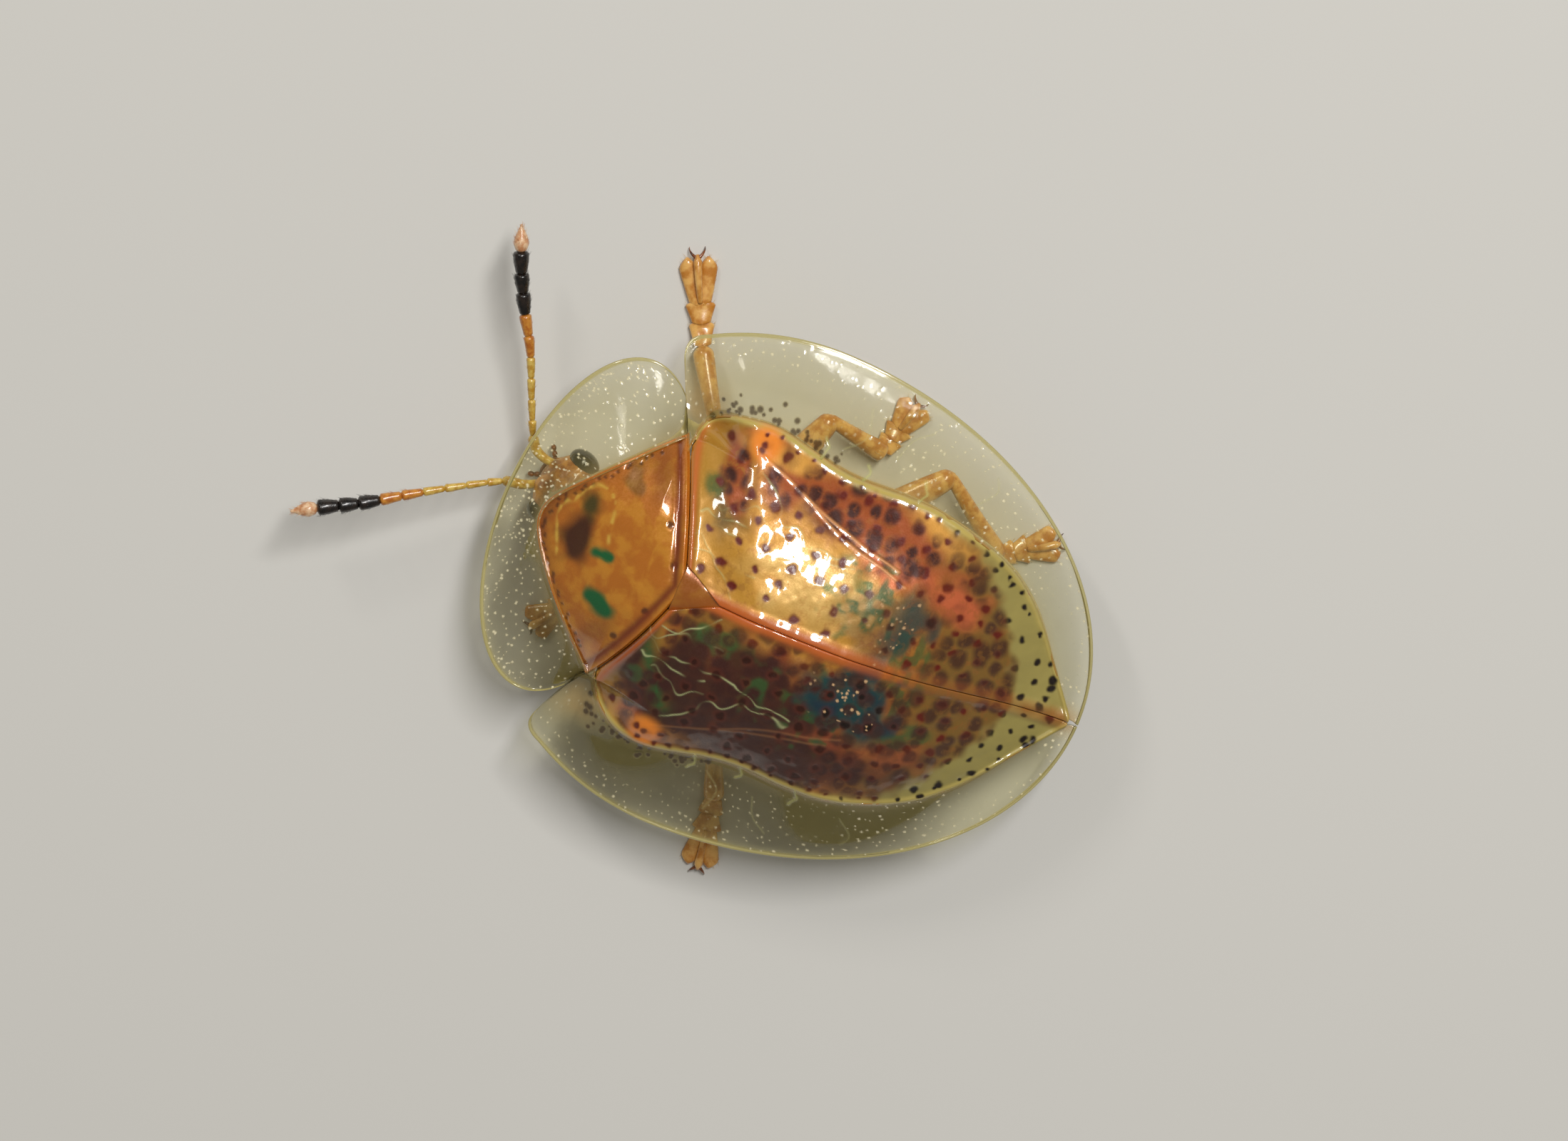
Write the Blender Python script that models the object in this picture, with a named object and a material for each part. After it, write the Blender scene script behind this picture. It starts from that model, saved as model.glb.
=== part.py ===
# Golden tortoise beetle at life size, standing on its six feet with its feelers spread.
# Sizes are in millimetres, and scale_to_metres turns each finished mesh into metres.
# x runs to the beetle's left, y from the front rim of the pronotum to the tail, z up from the floor.

import math

import bmesh
import bpy
from mathutils import Matrix, Vector

MM = 0.001
GAP = 0.15  # between neighbouring pieces; small, because the whole beetle is 7 mm long

# Wing cases: the outline is a half ellipse ahead of the widest place and another behind it
BODY_LENGTH = 7.0
HALF_WIDTH = 2.94
WIDEST_Y = 2.95
FRONT_REACH = 3.0
RIM_HEIGHT = 0.95  # top of the outer rim
SHELL = 0.45  # thickness of the domed shells
RIM = 0.3  # thickness of their outer rims
SEAM_MIDDLE_Y = 2.24  # where pronotum and wing cases meet on the middle line
SEAM_BOW = 0.07
SHOULDER = (2.14, 1.31)  # where that seam ends, at the shoulder
SHOULDER_TIP = (2.43, 1.15)  # corner that the rounded shoulder is drawn towards
SHOULDER_END_Y = 1.44  # where the rounded shoulder joins the ellipse

# The dome on the wing cases, its heights taken from the outer rim
DOME_RISE = 1.42
DOME_TOP_Y = 3.3
DOME_FRONT_FALL = 0.062  # by how much the ridge sinks 1 mm ahead of the top
DOME_BACK_POWER = 1.4
DOME_POWER = 2.3  # 2 gives a round section, more gives a flatter top
BORDER_RISE = 0.59  # where the dome meets the clear margin
BORDER_FALL_Y = (4.6, 6.9)  # the border sinks to the rim between these
MARGIN_POWER = 1.15
DISC_HALF_WIDTH = 1.78
DISC_WIDEST_Y = 4.4
DISC_END_Y = 6.9
DISC_TAIL_POWERS = (1.9, 0.8)
DISC_WAIST = 0.09

# Scutellum, the small triangle between the wing cases
SCUTELLUM_HALF_WIDTH = 0.3
SCUTELLUM_TIP_Y = 2.78
SCUTELLUM_THICKNESS = 0.4

# Pronotum, the shield over the head, its heights taken from its rim
SHIELD_HALF_WIDTH = 2.04
SHIELD_CENTRE_Y = 1.0
SHIELD_RIM_HEIGHT = 1.0
SHIELD_RISE = 1.26
SHIELD_RIDGE_REACH = 0.25  # the ridge would level out this far behind the seam
SHIELD_POWER = 1.1
SHIELD_DISC_Y = (0.45, 1.7)  # front end and widest place of its opaque disc
SHIELD_DISC_HALF_WIDTH = 1.45
SHIELD_DISC_POWER = 0.85
SHIELD_BORDER = 0.4  # rise of the disc's border, as a share of the rise in the middle

# Underside, in three sections given by where each starts and ends
PROTHORAX_Y = (1.1, 2.0)
PROTHORAX_HALF_WIDTHS = (0.72, 0.95)
THORAX_Y = (PROTHORAX_Y[1] + GAP, 3.92)
THORAX_HALF_WIDTHS = (1.15, 1.34)
ABDOMEN_Y = (THORAX_Y[1] + GAP, 6.05)
ABDOMEN_HALF_WIDTH = 1.32
ABDOMEN_REACH = 2.3
BELLY_HEIGHT = 0.85
ABDOMEN_HEIGHTS = (0.77, 0.46)
BELLY_BOW = 0.5
STERNITE_LENGTH = 0.42
STERNITE_STEP = 0.035
BODY_EDGE = 0.06  # half thickness of the body's side edge
COXA_RADIUS = 0.27
COXA_FOOT = 0.3  # height of a coxa's lowest point
COXA_ROOT = 0.2  # how far a coxa is sunk in the body

# Head, turned towards the beetle's right
HEAD_CENTRE = Vector((-0.19, 0.645, 0.56))
HEAD_HALF_SIZES = (0.49, 0.32, 0.27)
HEAD_TURN = math.radians(-18)
EYE_OFFSET = Vector((0.4, -0.06, 0.04))
EYE_HALF_SIZES = (0.16, 0.2, 0.17)
MOUTH_OFFSET = Vector((0, -0.24, -0.42))
LIP_HALF_SIZES = (0.17, 0.12, 0.1)
PALP_ROOT = Vector((0.08, 0, 0))
PALP_TIP = Vector((0.22, -0.16, -0.03))
PALP_SIZES = (0.07, 0.06, 0.03)

# Legs: the knee, ankle and toe of each, as distances out from the middle line and from the front
HIP_HEIGHT = 0.48
KNEE_HEIGHT = 0.5
ANKLE_HEIGHT = 0.24
COXAE = {"front": (0.36, 1.56), "middle": (0.62, 2.56), "hind": (0.68, 3.52)}
LEGS = {
    "front_right": ((1.25, 2.1), (2.22, 1.46), (3.22, 0.98)),
    "front_left": ((1.5, 1.98), (1.06, 1.26), (1.58, 0.86)),
    "middle_right": ((2.08, 3.1), (1.9, 3.8), (2.6, 3.98)),
    "middle_left": ((1.6, 3.2), (2.56, 3.58), (3.48, 3.74)),
    "hind_right": ((2.0, 4.6), (1.3, 5.48), (1.72, 6.1)),
    "hind_left": ((1.8, 4.5), (1.34, 5.36), (1.08, 6.12)),
}
FEMUR_THICKNESS = 0.46
FEMUR_SHARES = (0.5, 0.7, 1.0, 0.98, 0.8, 0.5)
TIBIA_THICKNESS = 0.38
TIBIA_SHARES = (0.55, 0.8, 0.9, 1.0, 1.0, 0.6)
LIMB_PLACES = (0.0, 0.06, 0.3, 0.6, 0.94, 1.0)
JOINT_SHARE = 0.35  # how far past a joint's centre the next length starts, before the gap

# Feet: half the sole's outline, along the foot and across it, and the claw joint that lies on it
FOOT_THICKNESS = 0.27
FOOT_HALF_WIDTH = 0.22
SOLE_OUTLINE = (
    (0.0, 0.3), (0.16, 0.55), (0.24, 0.46), (0.42, 0.78), (0.5, 0.62),
    (0.66, 1.0), (0.82, 0.96), (0.88, 0.55), (0.76, 0.14),
)
CLAW_PATH = ((0.5, 0.0, 0.17), (0.8, 0.02, 0.19), (0.96, 0.07, 0.17), (1.06, 0.12, 0.08))
CLAW_SIZES = (0.08, 0.08, 0.055, 0.02)

# Feelers: the points that each follows from the head to its tip, and its eleven segments' lengths as shares
FEELER_THICKNESS = 0.4
FEELER_ROOT_SHARE = 0.62  # thickness of the first segment, as a share of the club's
FEELER_PATHS = {
    "right": ((-0.35, 0.2, 0.46), (-0.54, 0.11, 0.5), (-1.0, -0.1, 0.6), (-1.54, -0.33, 0.72),
              (-1.95, -0.56, 0.8), (-2.4, -0.78, 0.88), (-2.88, -0.97, 0.95)),
    "left": ((-0.03, 0.17, 0.46), (0.02, -0.06, 0.5), (0.26, -0.52, 0.62), (0.53, -0.99, 0.74),
             (0.78, -1.4, 0.83), (1.0, -1.82, 0.9), (1.17, -2.13, 0.95)),
}
SEGMENT_SHARES = (0.12, 0.06, 0.09, 0.09, 0.09, 0.09, 0.09, 0.09, 0.08, 0.09, 0.11)
SEGMENT_WAIST = 0.004  # length of the waist between two segments, as a share of the feeler
SEGMENT_RINGS = (0.0, 0.28, 0.72, 1.0)
BEAD_SHARES = (0.72, 1.0, 1.0, 0.72)
TIP_SHARES = (0.72, 0.9, 0.6, 0.22)
FEELER_LENGTHS = {"scape": (0, 1), "stem": (1, 7), "club": (7, 10), "tip": (10, 11)}


def lerp(a, b, share):
    return a + (b - a) * share


def smooth_step(value):
    value = min(1.0, max(0.0, value))
    return value * value * (3 - 2 * value)


def outline_half_width(y):
    reach = FRONT_REACH if y < WIDEST_Y else BODY_LENGTH - WIDEST_Y
    return HALF_WIDTH * math.sqrt(max(0.0, 1 - ((y - WIDEST_Y) / reach) ** 2))


def disc_half_width(y):
    # Half width of the opaque dome, with a slight waist ahead of its widest place
    if y < DISC_WIDEST_Y:
        return DISC_HALF_WIDTH - DISC_WAIST * math.sin(math.pi * (DISC_WIDEST_Y - y) / 2)
    share = min(1.0, (y - DISC_WIDEST_Y) / (DISC_END_Y - DISC_WIDEST_Y))
    inner, outer = DISC_TAIL_POWERS
    return max(0.02, DISC_HALF_WIDTH * (1 - share**inner) ** outer)


def ridge_rise(y):
    if y < DOME_TOP_Y:
        return DOME_RISE - DOME_FRONT_FALL * (DOME_TOP_Y - y) ** 2
    share = min(1.0, (y - DOME_TOP_Y) / (BODY_LENGTH - DOME_TOP_Y))
    return DOME_RISE * 0.5 * (1 + math.cos(math.pi * share**DOME_BACK_POWER))


def border_rise(y):
    start, end = BORDER_FALL_Y
    return BORDER_RISE * (1 - smooth_step((y - start) / (end - start)))


def elytra_top(x, y):
    # Height of the wing cases' upper face
    x = abs(x)
    disc, border = disc_half_width(y), border_rise(y)
    if x <= disc:
        rise = border + (ridge_rise(y) - border) * (1 - (x / disc) ** DOME_POWER)
    else:
        out = min(1.0, (x - disc) / max(0.05, outline_half_width(y) - disc))
        rise = border * (1 - out) ** MARGIN_POWER
    return RIM_HEIGHT + rise


def seam_y(x):
    # Line where the pronotum and the wing cases meet
    share = min(1.0, abs(x) / SHOULDER[0])
    return lerp(SEAM_MIDDLE_Y, SHOULDER[1], share) + SEAM_BOW * math.sin(math.pi * share)


def shield_half_width(y):
    return SHIELD_HALF_WIDTH * math.sqrt(max(0.0, 1 - ((y - SHIELD_CENTRE_Y) / SHIELD_CENTRE_Y) ** 2))


def shield_disc_share(y):
    front, back = SHIELD_DISC_Y
    return min(1.0, max(0.0, (y - front) / (back - front)))


def shield_ridge(y):
    share = min(1.0, y / (SEAM_MIDDLE_Y + SHIELD_RIDGE_REACH))
    return SHIELD_RISE * math.sin(math.pi / 2 * share) ** SHIELD_POWER


def shield_top(x, y):
    # Height of the pronotum's upper face
    x, y = abs(x), max(0.0, y)
    share = shield_disc_share(y)
    disc = max(0.01, SHIELD_DISC_HALF_WIDTH * share**SHIELD_DISC_POWER)
    ridge = shield_ridge(y)
    border = ridge * lerp(1.0, SHIELD_BORDER, smooth_step(share))
    edge = max(shield_half_width(min(y, SHIELD_DISC_Y[1])), disc + 0.05)
    if x <= disc:
        rise = border + (ridge - border) * (1 - (x / disc) ** DOME_POWER)
    else:
        rise = border * (1 - min(1.0, (x - disc) / (edge - disc))) ** SHIELD_POWER
    return SHIELD_RIM_HEIGHT + rise


def steepness(top, x, y):
    # How much more a sloping shell's thickness measures when taken upright
    step = 0.02
    along_x = (top(x + step, y) - top(x - step, y)) / (2 * step)
    along_y = (top(x, y + step) - top(x, y - step)) / (2 * step)
    return min(1.7, math.sqrt(1 + along_x**2 + along_y**2))


def elytra_underside(x, y):
    disc = disc_half_width(y)
    out = smooth_step((abs(x) - disc) / max(0.05, outline_half_width(y) - disc))
    return elytra_top(x, y) - lerp(SHELL, RIM, out) * steepness(elytra_top, x, y)


def shield_underside(x, y):
    # The rim's thickness is kept to the front and sides, and the back edge is as thick as the shell
    off_centre = math.hypot(x / SHIELD_HALF_WIDTH, (y - SHIELD_CENTRE_Y) / SHIELD_CENTRE_Y)
    out = smooth_step((off_centre - 0.4) / 0.6) * (1 - smooth_step((y - 1.4) / 0.6))
    return shield_top(x, y) - lerp(SHELL, RIM, out) * steepness(shield_top, x, y)


def new_material(name, colour, roughness, metallic=0.0):
    material = bpy.data.materials.new(name)
    material.use_nodes = True
    shader = material.node_tree.nodes["Principled BSDF"]
    shader.inputs["Base Color"].default_value = (*colour, 1.0)
    shader.inputs["Roughness"].default_value = roughness
    shader.inputs["Metallic"].default_value = metallic
    material.diffuse_color = (*colour, 1.0)
    return material


def new_object(name, builder, material=None):
    # builder is a bmesh in millimetres
    bmesh.ops.remove_doubles(builder, verts=builder.verts, dist=1e-5)
    bmesh.ops.recalc_face_normals(builder, faces=builder.faces)
    mesh = bpy.data.meshes.new(name)
    builder.to_mesh(mesh)
    builder.free()
    made = bpy.data.objects.new(name, mesh)
    bpy.context.scene.collection.objects.link(made)
    if material:
        mesh.materials.append(material)
    return made


def keep_largest(target):
    # Keeps the largest closed surface, so no sealed hollow or loose scrap stays in a piece
    builder = bmesh.new()
    builder.from_mesh(target.data)
    left, surfaces = set(builder.verts), []
    while left:
        surface, reached = set(), [left.pop()]
        while reached:
            vertex = reached.pop()
            surface.add(vertex)
            linked = {edge.other_vert(vertex) for edge in vertex.link_edges} & left
            left -= linked
            reached += linked
        surfaces.append(surface)
    largest = max(surfaces, key=len)
    bmesh.ops.delete(builder, geom=[v for v in builder.verts if v not in largest], context="VERTS")
    builder.to_mesh(target.data)
    builder.free()


def boolean(target, others, operation):
    # Joins or cuts with a collection of closed meshes, and removes them
    helpers = bpy.data.collections.new("helpers")
    bpy.context.scene.collection.children.link(helpers)
    for other in others:
        bpy.context.scene.collection.objects.unlink(other)
        helpers.objects.link(other)
    modifier = target.modifiers.new(operation.lower(), "BOOLEAN")
    modifier.operation = operation
    modifier.operand_type = "COLLECTION"
    modifier.collection = helpers
    modifier.solver = "EXACT"
    bpy.context.view_layer.update()
    graph = bpy.context.evaluated_depsgraph_get()
    made = bpy.data.meshes.new_from_object(target.evaluated_get(graph))
    target.modifiers.clear()
    target.data = made
    for other in others:
        bpy.data.objects.remove(other)
    bpy.data.collections.remove(helpers)
    keep_largest(target)
    return target


def plate(name, grid, top, underside, material):
    # Closed plate over a grid of plan points, with both faces split into triangles alike
    builder = bmesh.new()
    upper = [[builder.verts.new((x, y, top(x, y))) for x, y in row] for row in grid]
    lower = [[builder.verts.new((x, y, underside(x, y))) for x, y in row] for row in grid]
    rows, columns = len(grid), len(grid[0])
    for i in range(rows - 1):
        for j in range(columns - 1):
            for face in (upper, lower):
                a, b, c, d = face[i][j], face[i + 1][j], face[i + 1][j + 1], face[i][j + 1]
                builder.faces.new((a, b, c))
                builder.faces.new((a, c, d))
    rim = [(i, 0) for i in range(rows)]
    rim += [(rows - 1, j) for j in range(1, columns)]
    rim += [(i, columns - 1) for i in range(rows - 2, -1, -1)]
    rim += [(0, j) for j in range(columns - 2, 0, -1)]
    for (i, j), (k, m) in zip(rim, rim[1:] + rim[:1]):
        builder.faces.new((upper[i][j], upper[k][m], lower[k][m], lower[i][j]))
    return new_object(name, builder, material)


def tube(name, points, radii, sides, material=None):
    # Closed round tube along points
    builder = bmesh.new()
    rings = []
    for index, point in enumerate(points):
        along = points[min(index + 1, len(points) - 1)] - points[max(index - 1, 0)]
        across = along.cross(Vector((0, 0, 1))).normalized()
        up = across.cross(along).normalized()
        ring = []
        for side in range(sides):
            angle = 2 * math.pi * side / sides
            outward = across * math.cos(angle) + up * math.sin(angle)
            ring.append(builder.verts.new(point + outward * radii[index]))
        rings.append(ring)
    for ring, following in zip(rings, rings[1:]):
        for side in range(sides):
            after = (side + 1) % sides
            builder.faces.new((ring[side], ring[after], following[after], following[side]))
    builder.faces.new(rings[0])
    builder.faces.new(rings[-1])
    return new_object(name, builder, material)


def ball(name, centre, half_sizes, turn=0.0, material=None, segments=14, rings=9):
    builder = bmesh.new()
    bmesh.ops.create_uvsphere(builder, u_segments=segments, v_segments=rings, radius=1.0)
    place = Matrix.Translation(centre) @ Matrix.Rotation(turn, 4, "Z") @ Matrix.Diagonal((*half_sizes, 1.0))
    bmesh.ops.transform(builder, matrix=place, verts=builder.verts)
    return new_object(name, builder, material)


def smooth_path(points, count):
    # count points spread evenly along a smooth curve through the given ones
    dense = []
    for i in range(len(points) - 1):
        before, start = points[max(i - 1, 0)], points[i]
        end, after = points[i + 1], points[min(i + 2, len(points) - 1)]
        for step in range(20):
            t = step / 20
            bend = (end - before) * (t - 2 * t**2 + t**3) * 0.5 + (after - start) * (t**3 - t**2) * 0.5
            dense.append(start * (1 - 3 * t**2 + 2 * t**3) + end * (3 * t**2 - 2 * t**3) + bend)
    dense.append(points[-1])
    travelled = [0.0]
    for start, end in zip(dense, dense[1:]):
        travelled.append(travelled[-1] + (end - start).length)
    made, index = [], 0
    for step in range(count):
        distance = travelled[-1] * step / (count - 1)
        while index < len(dense) - 2 and travelled[index + 1] < distance:
            index += 1
        share = (distance - travelled[index]) / (travelled[index + 1] - travelled[index])
        made.append(dense[index].lerp(dense[index + 1], share))
    return made


def elytron_outer(share):
    # Outer outline of a wing case: a rounded shoulder, then the two half ellipses to the tail
    shoulder = 0.1
    if share < shoulder:
        t = share / shoulder
        end = Vector((outline_half_width(SHOULDER_END_Y), SHOULDER_END_Y))
        return Vector(SHOULDER) * (1 - t) ** 2 + Vector(SHOULDER_TIP) * 2 * t * (1 - t) + end * t**2
    first = math.asin((SHOULDER_END_Y - WIDEST_Y) / FRONT_REACH)
    last = math.acos(GAP / HALF_WIDTH)
    angle = lerp(first, last, (share - shoulder) / (1 - shoulder))
    reach = FRONT_REACH if angle < 0 else BODY_LENGTH - WIDEST_Y
    return Vector((HALF_WIDTH * math.cos(angle), WIDEST_Y + reach * math.sin(angle)))


def elytron_inner(share):
    # Inner edge of a wing case: beside the scutellum, then down the middle line
    beside = 0.12
    start_x = SCUTELLUM_HALF_WIDTH + GAP
    start = Vector((start_x, seam_y(start_x)))
    tip = Vector((GAP / 2, SCUTELLUM_TIP_Y + GAP))
    if share < beside:
        return start.lerp(tip, share / beside)
    along = (share - beside) / (1 - beside)
    return Vector((GAP / 2, lerp(tip.y, BODY_LENGTH - 0.05, along)))


def make_elytron(name, side, material):
    # The rows run from the inner edge to the outer one, and the first ones bow to follow the seam
    rows, columns, bowed_share = 30, 14, 0.15
    grid = []
    for i in range(rows):
        share = i / (rows - 1)
        inner, outer = elytron_inner(share), elytron_outer(share)
        bowed = max(0.0, 1 - share / bowed_share)
        row = []
        for j in range(columns):
            out = j / (columns - 1)
            point = inner.lerp(outer, out)
            bow = seam_y(point.x) - point.y if share == 0 else SEAM_BOW * math.sin(math.pi * out)
            row.append((side * point.x, point.y + (bow + GAP / 2) * bowed))
        grid.append(row)
    return plate(name, grid, elytra_top, elytra_underside, material)


def make_pronotum(material):
    # The rows run from side to side: the first ones follow the front rim, the last ones the seam
    rows, columns = 17, 25
    front_angle, back_angle = math.radians(4), math.radians(136)
    seam_share = 0.6  # from here on the rows turn to follow the seam
    grid = []
    for i in range(rows):
        share = i / (rows - 1)
        angle = lerp(front_angle, back_angle, share)
        edge = Vector((SHIELD_HALF_WIDTH * math.sin(angle), SHIELD_CENTRE_Y * (1 - math.cos(angle))))
        middle_y = lerp(0.001, SEAM_MIDDLE_Y - GAP / 2, lerp(share, smooth_step(share), 0.4))
        seam = max(0.0, share - seam_share) / (1 - seam_share)
        row = []
        for j in range(columns):
            across = 2 * j / (columns - 1) - 1
            x = edge.x * math.sin(across * math.pi / 2)
            y = lerp(middle_y, edge.y, abs(x / edge.x) ** lerp(2.0, 1.0, share))
            seam_at = seam_y(x) - GAP / 2
            y = lerp(y, min(y, seam_at) if share < 1 else seam_at, seam)
            row.append((x, y))
        grid.append(row)
    return plate("pronotum", grid, shield_top, shield_underside, material)


def make_scutellum(material):
    rows = 5
    front, tip_half_width, sunk = SEAM_MIDDLE_Y + GAP / 2, 0.05, 0.02
    grid = []
    for i in range(rows):
        share = i / (rows - 1)
        half = lerp(SCUTELLUM_HALF_WIDTH, tip_half_width, share)
        y = lerp(front, SCUTELLUM_TIP_Y, share)
        grid.append([(half * across, y) for across in (-1, -0.5, 0, 0.5, 1)])

    def top(x, y):
        return elytra_top(x, y) - sunk

    def underside(x, y):
        return top(x, y) - SCUTELLUM_THICKNESS

    return plate("scutellum", grid, top, underside, material)


def ceiling(x, y):
    # Highest that the body may reach under the shells
    if y < SEAM_MIDDLE_Y:
        return min(shield_underside(x, y), elytra_underside(x, SEAM_MIDDLE_Y)) - GAP
    return elytra_underside(x, y) - GAP


def body_section(name, span, half_width, belly, rows, material):
    # Part of the body between its belly surface and the shells over it
    columns = 17
    grid = []
    for i in range(rows):
        y = lerp(*span, i / (rows - 1))
        half = half_width(y)
        grid.append([(half * math.sin((2 * j / (columns - 1) - 1) * math.pi / 2), y) for j in range(columns)])

    def side_share(x, y):
        return min(1.0, abs(x) / half_width(y)) ** 4

    def side_height(y):
        half = half_width(y)
        return max((ceiling(half, y) + belly(half, y)) / 2, belly(half, y))

    def top(x, y):
        return lerp(ceiling(x, y), side_height(y) + BODY_EDGE, side_share(x, y))

    def underside(x, y):
        return lerp(belly(x, y), side_height(y) - BODY_EDGE, side_share(x, y))

    return plate(name, grid, top, underside, material)


def add_coxae(body, pair):
    # Paired hip bosses under the body, one solid with it
    out, y = COXAE[pair]
    half_height = (BELLY_HEIGHT + COXA_ROOT - COXA_FOOT) / 2
    bosses = []
    for side in (1, -1):
        centre = Vector((side * out, y, COXA_FOOT + half_height))
        bosses.append(ball("boss", centre, (COXA_RADIUS, COXA_RADIUS, half_height), segments=12, rings=8))
    return boolean(body, bosses, "UNION")


def make_body(material):
    def level_belly(x, y):
        return BELLY_HEIGHT

    def sternites(x, y):
        # The belly hangs lower at the back, in plates that overlap like tiles
        start = ABDOMEN_Y[0]
        low = lerp(*ABDOMEN_HEIGHTS, smooth_step(y - start))
        tile = ((y - start) / STERNITE_LENGTH) % 1.0
        return low + STERNITE_STEP * tile + BELLY_BOW * (x / ABDOMEN_HALF_WIDTH) ** 2

    def widening(span, half_widths):
        return lambda y: lerp(*half_widths, (y - span[0]) / (span[1] - span[0]))

    def abdomen_half_width(y):
        return ABDOMEN_HALF_WIDTH * math.sqrt(1 - ((y - ABDOMEN_Y[0]) / ABDOMEN_REACH) ** 2)

    front_width = widening(PROTHORAX_Y, PROTHORAX_HALF_WIDTHS)
    rear_width = widening(THORAX_Y, THORAX_HALF_WIDTHS)
    front = body_section("prothorax", PROTHORAX_Y, front_width, level_belly, 7, material)
    rear = body_section("thorax", THORAX_Y, rear_width, level_belly, 10, material)
    abdomen = body_section("abdomen", ABDOMEN_Y, abdomen_half_width, sternites, 21, material)
    add_coxae(front, "front")
    add_coxae(rear, "middle")
    add_coxae(rear, "hind")
    return [front, rear, abdomen]


def head_point(offset):
    turned = offset.copy()
    turned.rotate(Matrix.Rotation(HEAD_TURN, 3, "Z"))
    return HEAD_CENTRE + turned


def mirrored(offset, side):
    return Vector((side * offset.x, offset.y, offset.z))


def make_head(materials):
    head = ball("head", HEAD_CENTRE, HEAD_HALF_SIZES, HEAD_TURN, materials["leg"], 20, 12)
    socket_sizes = [size + GAP for size in EYE_HALF_SIZES]
    sockets, eyes = [], []
    for side, name in ((1, "left"), (-1, "right")):
        centre = head_point(mirrored(EYE_OFFSET, side))
        sockets.append(ball("socket", centre, socket_sizes, HEAD_TURN))
        eyes.append(ball(f"eye_{name}", centre, EYE_HALF_SIZES, HEAD_TURN, materials["eye"]))
    boolean(head, sockets, "DIFFERENCE")
    return [head, *eyes, make_mouthparts(materials["mouth"])]


def make_mouthparts(material):
    # Lip and short palps in one piece below the front of the head
    lip = ball("mouthparts", head_point(MOUTH_OFFSET), LIP_HALF_SIZES, HEAD_TURN, material)
    palps = []
    for side in (1, -1):
        root = head_point(MOUTH_OFFSET + mirrored(PALP_ROOT, side))
        tip = head_point(MOUTH_OFFSET + mirrored(PALP_TIP, side))
        palps.append(tube("palp", [root, root.lerp(tip, 0.5), tip], PALP_SIZES, 7))
    return boolean(lip, palps, "UNION")


def make_foot(name, start, toe, material):
    # Flat-soled foot of short joints and a two-lobed pad, with the claw joint over it
    length = (toe - start).length
    outline = [(x * length, y * FOOT_HALF_WIDTH) for x, y in SOLE_OUTLINE]
    outline += [(x, -y) for x, y in reversed(outline)]
    builder = bmesh.new()
    layers = []
    for height, inset in ((0.0, 1.0), (FOOT_THICKNESS * 0.55, 1.0), (FOOT_THICKNESS, 0.55)):
        layers.append([builder.verts.new((x, y * inset, height)) for x, y in outline])
    for layer, following in zip(layers, layers[1:]):
        for index in range(len(outline)):
            after = (index + 1) % len(outline)
            builder.faces.new((layer[index], layer[after], following[after], following[index]))
    builder.faces.new(layers[0])
    builder.faces.new(layers[-1])
    foot = new_object(name, builder, material)
    claws = []
    for side in (1, -1):
        path = [Vector((x * length, side * y, z)) for x, y, z in CLAW_PATH]
        claws.append(tube("claw", path, CLAW_SIZES, 7))
    boolean(foot, claws, "UNION")
    direction = toe - start
    turn = Matrix.Rotation(math.atan2(direction.y, direction.x), 4, "Z")
    foot.data.transform(Matrix.Translation((start.x, start.y, 0.0)) @ turn)
    return foot


def limb(name, start, end, thickness, shares, material):
    # Straight length of a leg with blunt ends, its thickness varied by the shares along it
    points = [start.lerp(end, place) for place in LIMB_PLACES]
    return tube(name, points, [thickness / 2 * share for share in shares], 10, material)


def make_leg(leg, material):
    pair, side_name = leg.split("_")
    side = 1 if side_name == "left" else -1
    heights = (KNEE_HEIGHT, ANKLE_HEIGHT, 0.0)
    knee, ankle, toe = (Vector((side * x, y, z)) for (x, y), z in zip(LEGS[leg], heights))
    out, along = COXAE[pair]
    hip = Vector((side * out, along, HIP_HEIGHT))
    thigh = (knee - hip).normalized()
    shin = (ankle - knee).normalized()
    ground = Vector((toe.x - ankle.x, toe.y - ankle.y, 0)).normalized()
    femur_start = hip + thigh * (COXA_RADIUS + GAP)
    shin_start = knee + shin * (FEMUR_THICKNESS * JOINT_SHARE + GAP)
    foot_start = ankle + ground * (TIBIA_THICKNESS * JOINT_SHARE + GAP)
    return [
        limb(f"femur_{leg}", femur_start, knee, FEMUR_THICKNESS, FEMUR_SHARES, material),
        limb(f"tibia_{leg}", shin_start, ankle, TIBIA_THICKNESS, TIBIA_SHARES, material),
        make_foot(f"foot_{leg}", foot_start, toe, material),
    ]


def make_feeler(side_name, materials):
    # Eleven bead-like segments, made as four lengths
    path = smooth_path([Vector(point) for point in FEELER_PATHS[side_name]], 2000)
    length = sum((b - a).length for a, b in zip(path, path[1:]))
    ends = [sum(SEGMENT_SHARES[:i]) for i in range(len(SEGMENT_SHARES) + 1)]
    full_size_segment = 6
    pieces = []
    for part, (first, last) in FEELER_LENGTHS.items():
        points, radii = [], []
        for segment in range(first, last):
            gap = GAP / length if segment == first and first > 0 else 0.0
            taper = lerp(FEELER_ROOT_SHARE, 1.0, min(1.0, segment / full_size_segment))
            shares = TIP_SHARES if segment == len(SEGMENT_SHARES) - 1 else BEAD_SHARES
            for place, share in zip(SEGMENT_RINGS, shares):
                along = lerp(ends[segment] + gap, ends[segment + 1] - SEGMENT_WAIST, place)
                points.append(path[round(along * (len(path) - 1))])
                radii.append(FEELER_THICKNESS / 2 * taper * share)
        pieces.append(tube(f"feeler_{part}_{side_name}", points, radii, 8, materials[part]))
    return pieces


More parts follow.
